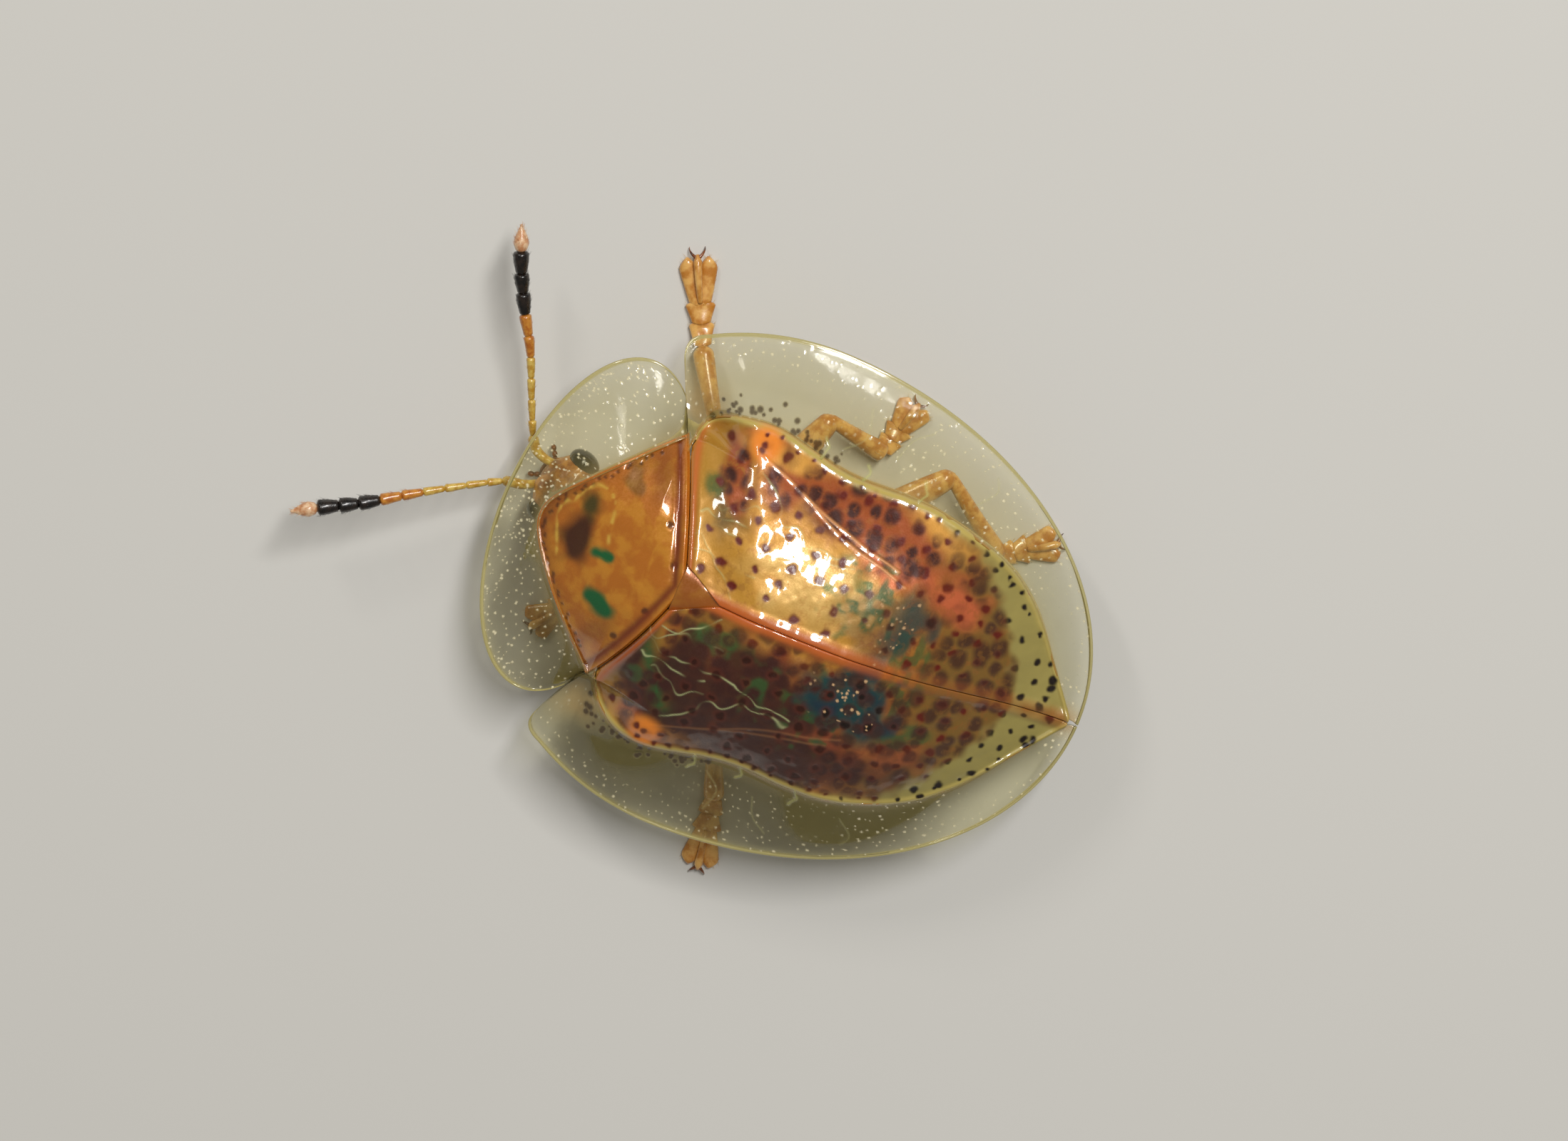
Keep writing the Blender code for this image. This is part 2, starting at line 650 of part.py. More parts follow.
def scale_to_metres(pieces):
    for piece in pieces:
        piece.data.transform(Matrix.Scale(MM, 4))
        piece.data.shade_smooth()
        piece.data.set_sharp_from_angle(angle=math.radians(40))


def stand_on_origin(pieces):
    # The bounding box's centre goes to x = 0, y = 0, with the soles on z = 0
    corners = [vertex.co for piece in pieces for vertex in piece.data.vertices]
    low = [min(corner[axis] for corner in corners) for axis in range(3)]
    high = [max(corner[axis] for corner in corners) for axis in range(3)]
    root = bpy.data.objects.new("beetle", None)
    bpy.context.scene.collection.objects.link(root)
    root.location = (-(low[0] + high[0]) / 2, -(low[1] + high[1]) / 2, -low[2])
    for piece in pieces:
        piece.parent = root


def main():
    for old in list(bpy.data.objects):
        bpy.data.objects.remove(old)
    shell = new_material("gold_shell", (0.62, 0.3, 0.07), 0.22, 0.4)
    shield = new_material("clear_shield", (0.66, 0.42, 0.12), 0.25, 0.2)
    leg = new_material("amber_leg", (0.72, 0.42, 0.13), 0.45)
    belly = new_material("brown_belly", (0.28, 0.14, 0.05), 0.5)
    eye = new_material("black_eye", (0.01, 0.01, 0.01), 0.15)
    mouth = new_material("dark_mouth", (0.2, 0.09, 0.04), 0.4)
    black = new_material("black_club", (0.015, 0.012, 0.01), 0.4)
    pale = new_material("pale_tip", (0.75, 0.55, 0.35), 0.45)

    pieces = [
        make_elytron("elytron_left", 1, shell),
        make_elytron("elytron_right", -1, shell),
        make_pronotum(shield),
        make_scutellum(shield),
        *make_body(belly),
        *make_head({"leg": leg, "eye": eye, "mouth": mouth}),
    ]
    for name in LEGS:
        pieces += make_leg(name, leg)
    for side_name in FEELER_PATHS:
        pieces += make_feeler(side_name, {"scape": leg, "stem": leg, "club": black, "tip": pale})
    scale_to_metres(pieces)
    stand_on_origin(pieces)


main()
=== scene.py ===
import math

import bmesh
import bpy
import numpy as np
from mathutils import Matrix, Vector


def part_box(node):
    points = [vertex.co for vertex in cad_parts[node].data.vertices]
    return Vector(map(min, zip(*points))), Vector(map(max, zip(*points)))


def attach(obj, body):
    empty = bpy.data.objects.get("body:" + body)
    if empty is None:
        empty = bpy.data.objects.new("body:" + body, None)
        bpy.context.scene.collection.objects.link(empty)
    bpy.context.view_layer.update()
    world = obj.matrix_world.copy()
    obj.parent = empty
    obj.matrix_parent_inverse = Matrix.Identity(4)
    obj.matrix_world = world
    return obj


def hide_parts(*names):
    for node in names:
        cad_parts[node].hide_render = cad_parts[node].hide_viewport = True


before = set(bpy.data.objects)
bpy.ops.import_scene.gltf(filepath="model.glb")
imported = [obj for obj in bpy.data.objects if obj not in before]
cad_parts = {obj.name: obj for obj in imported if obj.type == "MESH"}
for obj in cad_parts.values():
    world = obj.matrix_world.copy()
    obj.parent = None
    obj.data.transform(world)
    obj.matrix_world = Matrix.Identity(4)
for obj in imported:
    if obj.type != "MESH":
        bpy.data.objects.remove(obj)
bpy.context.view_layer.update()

# Everything below is in millimetres on the beetle itself: x to its left, y from its front rim to its
# tail, z up from the floor. toWorld turns them into metres in the part's frame.
mm = 0.001
shieldLow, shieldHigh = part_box("pronotum")
wingLow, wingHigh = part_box("elytron_left")
origin = np.array(((shieldLow.x + shieldHigh.x) / 2, shieldLow.y, 0.0))


def toWorld(points):
    return np.asarray(points, float) * mm + origin


form = {
    "length": (wingHigh.y - origin[1]) / mm,
    "halfWidth": (wingHigh.x - origin[0]) / mm,
    "widestY": 2.95,
    "frontReach": 3.0,
    "rimHeight": 0.95,
    "domeRise": 1.42,
    "domeTopY": 3.3,
    "domePower": 2.3,  # 2 gives a round section, more gives a flatter top
    "borderRise": 0.59,  # where the dome meets the clear margin
    "borderFallY": (4.6, 6.9),
    "discEndY": 6.87,
    "seamMiddleY": 2.24,
    "seamBow": 0.07,
    "shoulder": (2.14, 1.31),
    "shoulderTip": (2.43, 1.15),
    "shoulderEndY": 1.44,
    "shoulderShare": 0.1,
    "baseSettle": 0.9,  # behind the seam, how far the wing cases take to leave the pronotum's height
    "scutellum": (0.24, 2.68),  # half width in front, and where its tip is
    "shieldHalfWidth": 2.04,
    "shieldCentreY": 1.0,
    "shieldRim": 1.0,
    "shieldRise": 1.26,
    "shieldDiscY": (0.45, 1.7),
    "shieldDiscHalfWidth": 1.45,
    "shieldDiscPower": 0.85,
    "shieldDiscRound": 0.12,  # rounds the front of the pronotum's disc
    "shieldBorder": 0.4,
}

# Border between the opaque dome and the clear margin, from the shoulder to the tail
discBorder = (
    (1.33, 1.7), (1.55, 1.74), (1.75, 1.85), (1.88, 2.03), (1.96, 2.3), (1.97, 2.6), (1.9, 2.95),
    (1.82, 3.3), (1.79, 3.65), (1.81, 4.1), (1.8, 4.5), (1.74, 4.82), (1.66, 5.1), (1.56, 5.37),
    (1.4, 5.67), (1.16, 5.97), (0.9, 6.21), (0.62, 6.43), (0.33, 6.66), (0.1, 6.84), (0.02, 6.9),
)


def lerp(a, b, share):
    return a + (b - a) * share


def smooth(value):
    value = np.clip(value, 0, 1)
    return value * value * (3 - 2 * value)


def curve(points, count):
    # count points on a smooth curve through the given ones
    points = np.array(points, float)
    slopes = np.gradient(points, axis=0)
    at = np.linspace(0, len(points) - 1, count)
    index = np.minimum(at.astype(int), len(points) - 2)
    t = (at - index)[:, None]
    a, b = points[index], points[index + 1]
    bend = slopes[index] * (t - 2 * t**2 + t**3) + slopes[index + 1] * (t**3 - t**2)
    return a * (1 - 3 * t**2 + 2 * t**3) + b * (3 * t**2 - 2 * t**3) + bend


def walk(path, shares):
    # Points along a path at shares of its whole length
    travelled = np.append(0, np.cumsum(np.linalg.norm(np.diff(path, axis=0), axis=1)))
    travelled /= travelled[-1]
    axes = range(path.shape[1])
    return np.stack([np.interp(shares, travelled, path[:, axis]) for axis in axes], -1)


borderLine = curve(discBorder, 600)


def outlineHalfWidth(y):
    behind = form["length"] - form["widestY"]
    reach = np.where(y < form["widestY"], form["frontReach"], behind)
    return form["halfWidth"] * np.sqrt(np.maximum(0, 1 - ((y - form["widestY"]) / reach) ** 2))


def discHalfWidth(y):
    return np.interp(y, borderLine[:, 1], borderLine[:, 0])


def seamY(x):
    # Line where the pronotum and the wing cases meet
    share = np.clip(np.abs(x) / form["shoulder"][0], 0, 1)
    bow = form["seamBow"] * np.sin(math.pi * share)
    return lerp(form["seamMiddleY"], form["shoulder"][1], share) + bow


def shieldDiscFront(x):
    # Front border of the pronotum's disc, rounded in the middle
    front, back = form["shieldDiscY"]
    reach = (np.abs(x) / form["shieldDiscHalfWidth"]) ** (1 / form["shieldDiscPower"])
    return front + np.hypot((back - front) * reach, form["shieldDiscRound"]) - form["shieldDiscRound"]


def shieldDiscHalfWidth(y):
    front, back = form["shieldDiscY"]
    rounding = form["shieldDiscRound"]
    ahead = np.maximum(0, y - front)
    reach = np.sqrt((ahead + rounding) ** 2 - rounding**2) / (back - front)
    return form["shieldDiscHalfWidth"] * np.minimum(reach, 1.05) ** form["shieldDiscPower"]


def shieldTop(x, y):
    # Height of the pronotum's upper face
    x, y = np.abs(x), np.maximum(0, y)
    front, back = form["shieldDiscY"]
    disc = np.maximum(0.01, shieldDiscHalfWidth(y))
    rise = np.sin(math.pi / 2 * np.clip(y / (form["seamMiddleY"] + 0.25), 0, 1)) ** 1.1
    ridge = form["shieldRise"] * rise
    border = ridge * lerp(1, form["shieldBorder"], smooth((y - front) / (back - front)))
    centre = form["shieldCentreY"]
    across = np.sqrt(np.maximum(0, 1 - ((np.minimum(y, back) - centre) / centre) ** 2))
    edge = np.maximum(form["shieldHalfWidth"] * across, disc + 0.05)
    inside = border + (ridge - border) * (1 - np.clip(x / disc, 0, 1) ** form["domePower"])
    outside = border * (1 - np.clip((x - disc) / (edge - disc), 0, 1)) ** 1.1
    return form["shieldRim"] + np.where(x <= disc, inside, outside)


def shellTop(x, y):
    # Height of the wing cases' upper face; along the seam it meets the pronotum's
    x = np.abs(x)
    disc = discHalfWidth(y)
    behind = np.clip((y - form["domeTopY"]) / (form["length"] - form["domeTopY"]), 0, 1)
    ridge = np.where(
        y < form["domeTopY"],
        form["domeRise"] - 0.062 * (form["domeTopY"] - y) ** 2,
        form["domeRise"] * 0.5 * (1 + np.cos(math.pi * behind**1.4)),
    )
    start, end = form["borderFallY"]
    border = form["borderRise"] * (1 - smooth((y - start) / (end - start)))
    inside = border + (ridge - border) * (1 - np.clip(x / disc, 0, 1) ** form["domePower"])
    out = np.clip((x - disc) / np.maximum(0.05, outlineHalfWidth(y) - disc), 0, 1)
    outside = border * (1 - out) ** 1.15
    height = form["rimHeight"] + np.where(x <= disc, inside, outside)
    seam = seamY(x)
    settled = smooth((y - seam) / form["baseSettle"])
    return lerp(np.minimum(height, shieldTop(x, seam) + 0.03), height, settled)


# Patterns over the beetle's plan


def wander(x, y, grain, seed):
    # Smooth noise from -1 to 1 whose features are about grain across
    table = np.random.default_rng(seed).uniform(-1, 1, (61, 61))
    u, v = np.asarray(x) / grain + 30.5, np.asarray(y) / grain + 30.5
    i, j = np.floor(u).astype(int), np.floor(v).astype(int)
    a, b = smooth(u - i), smooth(v - j)
    near = lerp(table[i % 61, j % 61], table[(i + 1) % 61, j % 61], a)
    far = lerp(table[i % 61, (j + 1) % 61], table[(i + 1) % 61, (j + 1) % 61], a)
    return lerp(near, far, b)


def patch(x, y, centre, halfSizes, turn=0.0, edge=0.35, ragged=0.3, grain=0.2, seed=1):
    # 1 inside a soft-edged oval with a ragged outline, 0 outside
    turn = math.radians(turn)
    u, v = x - centre[0], y - centre[1]
    along = (u * math.cos(turn) + v * math.sin(turn)) / halfSizes[0]
    across = (v * math.cos(turn) - u * math.sin(turn)) / halfSizes[1]
    distance = np.hypot(along, across) + ragged * wander(x, y, grain, seed)
    return 1 - smooth((distance - 1 + edge) / (2 * edge))


def highest(*fields):
    made = fields[0]
    for one in fields[1:]:
        made = np.maximum(made, one)
    return made


def dots(x, y, places, radii, edge=0.5):
    # Soft round dots: 1 in the middle of each place, 0 outside its radius
    made = np.zeros(np.shape(x))
    radii = np.broadcast_to(radii, len(places))
    for start in range(0, len(places), 40):
        some, sizes = places[start : start + 40], radii[start : start + 40]
        distance = np.hypot(x[..., None] - some[:, 0], y[..., None] - some[:, 1]) / sizes
        made = np.maximum(made, (1 - smooth((distance - 1 + edge) / edge)).max(-1))
    return made


def lineDistance(x, y, points):
    nearest = np.full(np.shape(x), 9.0)
    for (ax, ay), (bx, by) in zip(points, points[1:]):
        dx, dy = bx - ax, by - ay
        share = np.clip(((x - ax) * dx + (y - ay) * dy) / (dx * dx + dy * dy), 0, 1)
        nearest = np.minimum(nearest, np.hypot(x - ax - share * dx, y - ay - share * dy))
    return nearest


def strokes(x, y, lines, width):
    # Thin lines, 1 on the line itself
    made = np.zeros(np.shape(x))
    for points in lines:
        distance = lineDistance(x, y, curve(points, 5 * len(points)))
        made = np.maximum(made, np.exp(-((distance / width) ** 2)))
    return made


# Meshes


def finishPiece(name, skin, material, nodes=None):
    # Makes the object from points, faces and fields, and gives it its place on the frame
    points, faces, fields = skin if len(skin) == 3 else (*skin, {})
    mesh = bpy.data.meshes.new(name)
    mesh.from_pydata(toWorld(points).reshape(-1, 3).tolist(), [], faces)
    for field, values in fields.items():
        attribute = mesh.attributes.new(field, "FLOAT", "POINT")
        attribute.data.foreach_set("value", np.asarray(values, np.float32).ravel())
    mesh.materials.append(material)
    builder = bmesh.new()
    builder.from_mesh(mesh)
    bmesh.ops.recalc_face_normals(builder, faces=builder.faces)
    builder.to_mesh(mesh)
    builder.free()
    mesh.shade_smooth()
    made = bpy.data.objects.new(name, mesh)
    bpy.context.scene.collection.objects.link(made)
    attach(made, "root")
    if nodes:
        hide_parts(*([nodes] if isinstance(nodes, str) else nodes))
    return made


def gridFaces(rows, columns, start=0):
    corner = np.arange(rows * columns).reshape(rows, columns)[:-1, :-1].ravel() + start
    return np.stack([corner, corner + 1, corner + columns + 1, corner + columns], -1).tolist()


def slab(top, bottom, fields, step):
    # Closed plate between a fine upper grid and a lower one that keeps every step-th point
    rows, columns = top.shape[:2]
    low = bottom[::step, ::step]
    count = rows * columns
    lowCount = low.shape[0] * low.shape[1]
    topIndex = np.arange(count).reshape(rows, columns)
    lowIndex = np.arange(lowCount).reshape(low.shape[:2]) + count
    faces = gridFaces(rows, columns) + gridFaces(*low.shape[:2], count)
    for above, below in (
        (topIndex[0], lowIndex[0]),
        (topIndex[-1], lowIndex[-1]),
        (topIndex[:, 0], lowIndex[:, 0]),
        (topIndex[:, -1], lowIndex[:, -1]),
    ):
        for k in range(len(below) - 1):
            upper = above[k * step : (k + 1) * step + 1].tolist()
            faces.append([int(below[k + 1]), int(below[k]), *upper])
    points = np.concatenate([top.reshape(-1, 3), low.reshape(-1, 3)])
    spread = {}
    for name, values in fields.items():
        values = np.broadcast_to(values, (rows, columns))
        spread[name] = np.concatenate([values.ravel(), values[::step, ::step].ravel()])
    spread["under"] = np.concatenate([np.zeros(count), np.ones(lowCount)])
    return points, faces, spread


def loft(rings):
    # Closed skin over rings of points, each end drawn to a middle point
    count, around = rings.shape[:2]
    first, last = count * around, count * around + 1
    faces = []
    for i in range(count - 1):
        for j in range(around):
            k = (j + 1) % around
            faces.append([i * around + j, i * around + k, (i + 1) * around + k, (i + 1) * around + j])
    for j in range(around):
        k = (j + 1) % around
        faces.append([first, k, j])
        faces.append([last, (count - 1) * around + j, (count - 1) * around + k])
    points = np.concatenate([rings.reshape(-1, 3), rings[[0, -1]].mean(axis=1)])
    return points, faces


def tubeRings(path, widths, heights=None, sides=16, side=None):
    # Rings round a path: half widths across it, half heights upright
    path = np.asarray(path, float)
    heights = widths if heights is None else heights
    along = np.gradient(path, axis=0)
    along /= np.linalg.norm(along, axis=1)[:, None]
    across = np.cross(along, (0.0, 0.0, 1.0)) if side is None else np.broadcast_to(side, path.shape)
    across = across / np.linalg.norm(across, axis=1)[:, None]
    up = np.cross(across, along)
    angle = np.linspace(0, 2 * math.pi, sides, endpoint=False)
    ring = across[:, None] * (np.cos(angle) * np.asarray(widths)[:, None])[..., None]
    ring = ring + up[:, None] * (np.sin(angle) * np.asarray(heights)[:, None])[..., None]
    return path[:, None] + ring


def gather(parts):
    # Joins several closed skins in one mesh
    points, faces, start = [], [], 0
    for part in parts:
        points.append(part[0].reshape(-1, 3))
        faces += [[index + start for index in face] for face in part[1]]
        start += len(points[-1])
    return np.concatenate(points), faces


def bristles(roots, directions, lengths, radius, bend=0.3, seed=5):
    # Fine tapering hairs that droop a little, as a list of closed skins
    random = np.random.default_rng(seed)
    made = []
    for root, direction, length in zip(roots, directions, lengths):
        aside = random.normal(0, bend, 3)
        steps = np.linspace(0, 1, 4)[:, None]
        path = root + direction * length * steps + aside * length * steps**2 * 0.5
        made.append(loft(tubeRings(path, radius * (1 - 0.85 * steps[:, 0]), sides=4)))
    return made


def ballPoints(halfSizes, rings, around):
    # Unit directions over a ball, ring by ring, and the points of an ellipsoid
    lift = np.linspace(-0.5, 0.5, rings + 2)[1:-1, None] * math.pi
    angle = np.linspace(0, 2 * math.pi, around, endpoint=False)
    level = np.cos(lift)
    unit = np.stack([level * np.cos(angle), level * np.sin(angle), np.sin(lift) + 0 * angle], -1)
    return unit, unit * halfSizes


# Materials


def linear(code):
    # An sRGB hex colour as linear red, green, blue and alpha
    parts = [int(code[i : i + 2], 16) / 255 for i in (1, 3, 5)]
    return (*[p / 12.92 if p <= 0.04045 else ((p + 0.055) / 1.055) ** 2.4 for p in parts], 1.0)


def addNode(tree, kind, inputs=None, **settings):
    # Adds a node; an input takes a number, a hex colour, a node or an output of one
    made = tree.nodes.new(kind)
    for name, value in settings.items():
        setattr(made, name, value)
    for name, value in (inputs or {}).items():
        if isinstance(value, bpy.types.Node):
            value = value.outputs[0]
        if isinstance(value, bpy.types.NodeSocket):
            tree.links.new(value, made.inputs[name])
        else:
            made.inputs[name].default_value = linear(value) if isinstance(value, str) else value
    return made


def startMaterial(name):
    material = bpy.data.materials.new(name)
    material.use_nodes = True
    material.node_tree.nodes.clear()
    return material, material.node_tree


def endMaterial(tree, shader):
    addNode(tree, "ShaderNodeOutputMaterial", {"Surface": shader})


def field(tree, name):
    return addNode(tree, "ShaderNodeAttribute", attribute_name=name).outputs["Fac"]


def mixColour(tree, base, top, share):
    return addNode(tree, "ShaderNodeMix", {0: share, 6: base, 7: top}, data_type="RGBA").outputs[2]


def shareOf(tree, value, low, high, start=0.0, end=1.0):
    # Where value lies between low and high, drawn from start to end
    inputs = {0: value, 1: low, 2: high, 3: start, 4: end}
    return addNode(tree, "ShaderNodeMapRange", inputs, interpolation_type="SMOOTHSTEP").outputs[0]


def combine(tree, a, b, operation="MULTIPLY"):
    return addNode(tree, "ShaderNodeMath", {0: a, 1: b}, operation=operation).outputs[0]


def grain(tree, size, detail=3.0, distortion=0.0):
    # Noise whose features are about size mm across
    place = addNode(tree, "ShaderNodeTexCoord").outputs["Object"]
    inputs = {"Vector": place, "Scale": 1 / (size * mm), "Detail": detail, "Distortion": distortion}
    return addNode(tree, "ShaderNodeTexNoise", inputs).outputs[0]


goldLook = {
    # Lacquered gold cuticle: a thin metal-like layer under clear chitin, which gives a deep amber and
    # gold with a wet gloss. Each field of the pattern lies over those before it.
    "base": ("#a4601c", "#be7a26"),
    "layers": (
        ("front", "#be8a2a"),
        ("olive", "#54400f"),
        ("gold", "#cf9530"),
        # pale gold, partly a painted highlight
        ("bright", "#e8c272"),
        ("mahogany", "#a8501a"),
        ("rear", "#8a641e"),
        # painted shade, on the left wing case only
        ("maroon", "#340f04"),
        ("coral", "#d8683c"),
        ("yellow", "#f2b24c"),
        ("band", "#a2944e"),
        ("green", "#2c6228"),
        ("teal", "#0e4640"),
        ("blue", "#0a3040"),
        # real dark blotches, and painted shade on the left wing case
        ("blotch", "#401203"),
        ("costa", "#f0a868"),
        ("vein", "#c8d092"),
        ("suture", "#c4601c"),
        ("border", "#c4ae5a"),
        ("callus", "#f58c22"),
        ("halo", "#74280a"),
        ("pit", "#641604"),
        ("blackPit", "#180a04"),
        ("glint", "#f8ca94"),
        ("under", "#4a260e"),
    ),
    "mottled": ("gold", "bright", "mahogany", "coral", "rear", "green", "teal", "blotch", "olive"),
    "dull": ("band", "vein", "border", "costa", "suture", "callus", "under", "pit", "blackPit"),
    "metallic": (0.2, 0.0),
    "roughness": (0.34, 0.48),
    "grain": 0.09,
}


def goldCuticle():
    material, tree = startMaterial("lacquered gold cuticle")
    mottle = grain(tree, goldLook["grain"], 4.0, 0.4)
    fine = grain(tree, goldLook["grain"] / 4, 2.0)
    low, high = map(linear, goldLook["base"])
    colour = mixColour(tree, low, high, shareOf(tree, mottle, 0.4, 0.62))
    for name, code in goldLook["layers"]:
        share = field(tree, name)
        if name in goldLook["mottled"]:
            share = combine(tree, share, shareOf(tree, mottle, 0.3, 0.52, 0.6, 1.0))
        colour = mixColour(tree, colour, linear(code), share)
    dull = 0.0
    for name in goldLook["dull"]:
        dull = combine(tree, dull, field(tree, name), "MAXIMUM")
    sunk = combine(tree, field(tree, "pit"), field(tree, "blackPit"), "MAXIMUM")
    bump = addNode(tree, "ShaderNodeBump", {"Height": fine, "Strength": 0.25, "Distance": 0.004 * mm})
    shader = addNode(tree, "ShaderNodeBsdfPrincipled", {
        "Base Color": colour,
        "Metallic": shareOf(tree, dull, 0.0, 1.0, *goldLook["metallic"]),
        "Roughness": shareOf(tree, fine, 0.3, 0.7, *goldLook["roughness"]),
        "Normal": bump,
        "Coat Weight": shareOf(tree, sunk, 0.0, 0.8, 1.0, 0.12),
        "Coat Roughness": 0.05,
        "Coat IOR": 1.56,
    })
    endMaterial(tree, shader)
    return material


clearLook = {
    # Clear chitin of the margins, moulted smooth: almost glass, faintly straw, with a pale rim bead
    # and fine pale specks in small dimples, their pale colour a painted glint
    "through": "#fdfcf3",
    "body": "#cfc489",
    "layers": (("amber", "#c08a34", 0.75), ("vein", "#cdd07a", 0.7), ("bead", "#ccc07c", 0.6),
               ("speck", "#fff4cc", 0.8), ("pit", "#463008", 0.8)),
    "opacity": (0.02, 0.05),
}


def clearCuticle():
    material, tree = startMaterial("clear margin chitin")
    opacity = shareOf(tree, grain(tree, 0.5), 0.3, 0.7, *clearLook["opacity"])
    colour = linear(clearLook["body"])
    for name, code, share in clearLook["layers"]:
        colour = mixColour(tree, colour, linear(code), field(tree, name))
        opacity = combine(tree, opacity, combine(tree, field(tree, name), share), "MAXIMUM")
    edge = addNode(tree, "ShaderNodeFresnel", {"IOR": 1.35})
    opacity = combine(tree, combine(tree, opacity, edge, "ADD"), 0.95, "MINIMUM")
    shader = addNode(tree, "ShaderNodeBsdfPrincipled", {
        "Base Color": colour, "Roughness": 0.12, "IOR": 1.6, "Coat Weight": 1.0, "Coat Roughness": 0.06,
        "Coat IOR": 1.8,
    })
    clear = addNode(tree, "ShaderNodeBsdfTransparent", {"Color": clearLook["through"]})
    endMaterial(tree, addNode(tree, "ShaderNodeMixShader", {0: opacity, 1: clear, 2: shader}))
    return material


amberLook = {
    # Amber chitin of the pronotum's disc, moulted smooth: warm, glossy, darker where it is thick
    "base": ("#c0701a", "#d28a26"),
    "layers": (("deep", "#7a3a10"), ("brown", "#3a1606"), ("dark", "#26370f"), ("green", "#0d6432"),
               ("line", "#e6bc4c"), ("ridge", "#7c300c"), ("lip", "#d8842c"), ("under", "#6a3a14")),
}


def amberCuticle():
    material, tree = startMaterial("amber pronotum chitin")
    mottle = grain(tree, 0.22, 3.0, 0.3)
    fine = grain(tree, 0.03, 2.0)
    low, high = map(linear, amberLook["base"])
    colour = mixColour(tree, low, high, shareOf(tree, mottle, 0.4, 0.65))
    for name, code in amberLook["layers"]:
        colour = mixColour(tree, colour, linear(code), field(tree, name))
    bump = addNode(tree, "ShaderNodeBump", {"Height": fine, "Strength": 0.2, "Distance": 0.004 * mm})
    shader = addNode(tree, "ShaderNodeBsdfPrincipled", {
        "Base Color": colour, "Metallic": 0.2, "Roughness": shareOf(tree, fine, 0.3, 0.7, 0.2, 0.34),
        "Normal": bump, "Coat Weight": 1.0, "Coat Roughness": 0.05, "Coat IOR": 1.56,
    })
    endMaterial(tree, shader)
    return material


def plainChitin(name, low, high, size, roughness, coat=0.4, depth=0.003):
    # Chitin mottled between two colours, with a fine uneven surface
    material, tree = startMaterial(name)
    fine = grain(tree, size / 5, 2.0)
    colour = mixColour(tree, linear(low), linear(high), shareOf(tree, grain(tree, size), 0.35, 0.65))
    bump = addNode(tree, "ShaderNodeBump", {"Height": fine, "Strength": 0.4, "Distance": depth * mm})
    spread = shareOf(tree, fine, 0.3, 0.7, roughness * 0.8, roughness * 1.2)
    shader = addNode(tree, "ShaderNodeBsdfPrincipled", {
        "Base Color": colour, "Roughness": spread, "Normal": bump, "Coat Weight": coat,
        "Coat Roughness": 0.12,
    })
    endMaterial(tree, shader)
    return material


gold = goldCuticle()
clear = clearCuticle()
amber = amberCuticle()
# Thin amber cuticle with a satin gloss, as on the shins and feet
legChitin = plainChitin("amber leg chitin", "#c07c2c", "#e8b464", 0.12, 0.3, 0.6)
headChitin = plainChitin("amber head chitin", "#9a5a1c", "#cc8c3a", 0.12, 0.3, 0.6)
# Hardened dark brown plates, satin, seen only from beneath
bellyChitin = plainChitin("dark belly chitin", "#2a150a", "#5a3014", 0.15, 0.32, 0.6)
mouthChitin = plainChitin("dark mouth chitin", "#5a2a0e", "#8a4a1a", 0.08, 0.35)
clawChitin = plainChitin("dark claw chitin", "#4a220a", "#8a4a18", 0.08, 0.25, 0.8)
eyeChitin = plainChitin("black eye facets", "#050403", "#0e0a08", 0.05, 0.16, 1.0)
clubChitin = plainChitin("black feeler chitin", "#0a0706", "#241a14", 0.06, 0.3, 0.5)
tipChitin = plainChitin("pale feeler chitin", "#c98a5c", "#ecc8a0", 0.06, 0.35, 0.5)
stemChitin = plainChitin("straw feeler chitin", "#c0902e", "#dcbc5e", 0.06, 0.3, 0.6)
ochreChitin = plainChitin("ochre feeler chitin", "#b0641a", "#d08c34", 0.06, 0.3, 0.6)
hairChitin = plainChitin("pale gold bristle", "#cfa860", "#ecd8a8", 0.05, 0.4, 0.2)
print("materials made")

# Wing cases

wingLook = {
    "rows": 391,
    "columns": 145,
    "step": 6,
    "thickness": 0.12,
    "sutureGap": 0.005,
    "sutureWidth": 0.11,
    "sutureHeight": 0.035,
    "baseRidge": 0.03,
    "roll": (12, 0.05, 0.3),  # rows, radius and depth of the rolled front edge
    "pitRows": (0.12, 0.255, 0.39, 0.525, 0.655, 0.775, 0.885),
    "pitRadius": 0.07,
    "pitDepth": 0.003,
    "pitSpacing": (0.36, 0.24),
    "blotchSpacing": (0.2, 0.24),
    "blotchRadius": (0.09, 0.16),
    "bandEdge": ((1.8, 3.8), (1.76, 4.2), (1.7, 4.65), (1.58, 5.0), (1.4, 5.25), (1.17, 5.48),
                 (0.92, 5.67), (0.44, 5.97), (0.12, 6.15), (0.0, 6.2)),
    "costae": (
        ((1.68, 2.5), (1.42, 3.13), (1.22, 3.56), (1.09, 4.01), (0.94, 4.5)),
        ((1.53, 2.86), (1.35, 3.34), (1.22, 3.79), (1.07, 4.37)),
    ),
    "veins": (
        ((0.82, 2.1), (0.95, 2.5), (0.89, 2.79)),
        ((0.44, 2.2), (0.47, 2.56), (0.5, 2.89)),
        ((0.47, 2.02), (0.63, 2.2), (0.34, 2.55), (0.11, 2.8)),
        ((0.62, 2.06), (0.8, 2.5), (0.79, 3.06), (0.99, 3.88)),
        ((1.5, 2.55), (1.21, 2.89), (1.0, 3.38), (1.05, 3.91)),
        ((1.02, 2.28), (1.12, 2.52), (1.08, 2.86)),
    ),
    "greenArc": ((0.5, 1.95), (0.8, 2.1), (1.1, 2.3), (1.45, 2.55)),
    "callus": (1.78, 2.47),
}


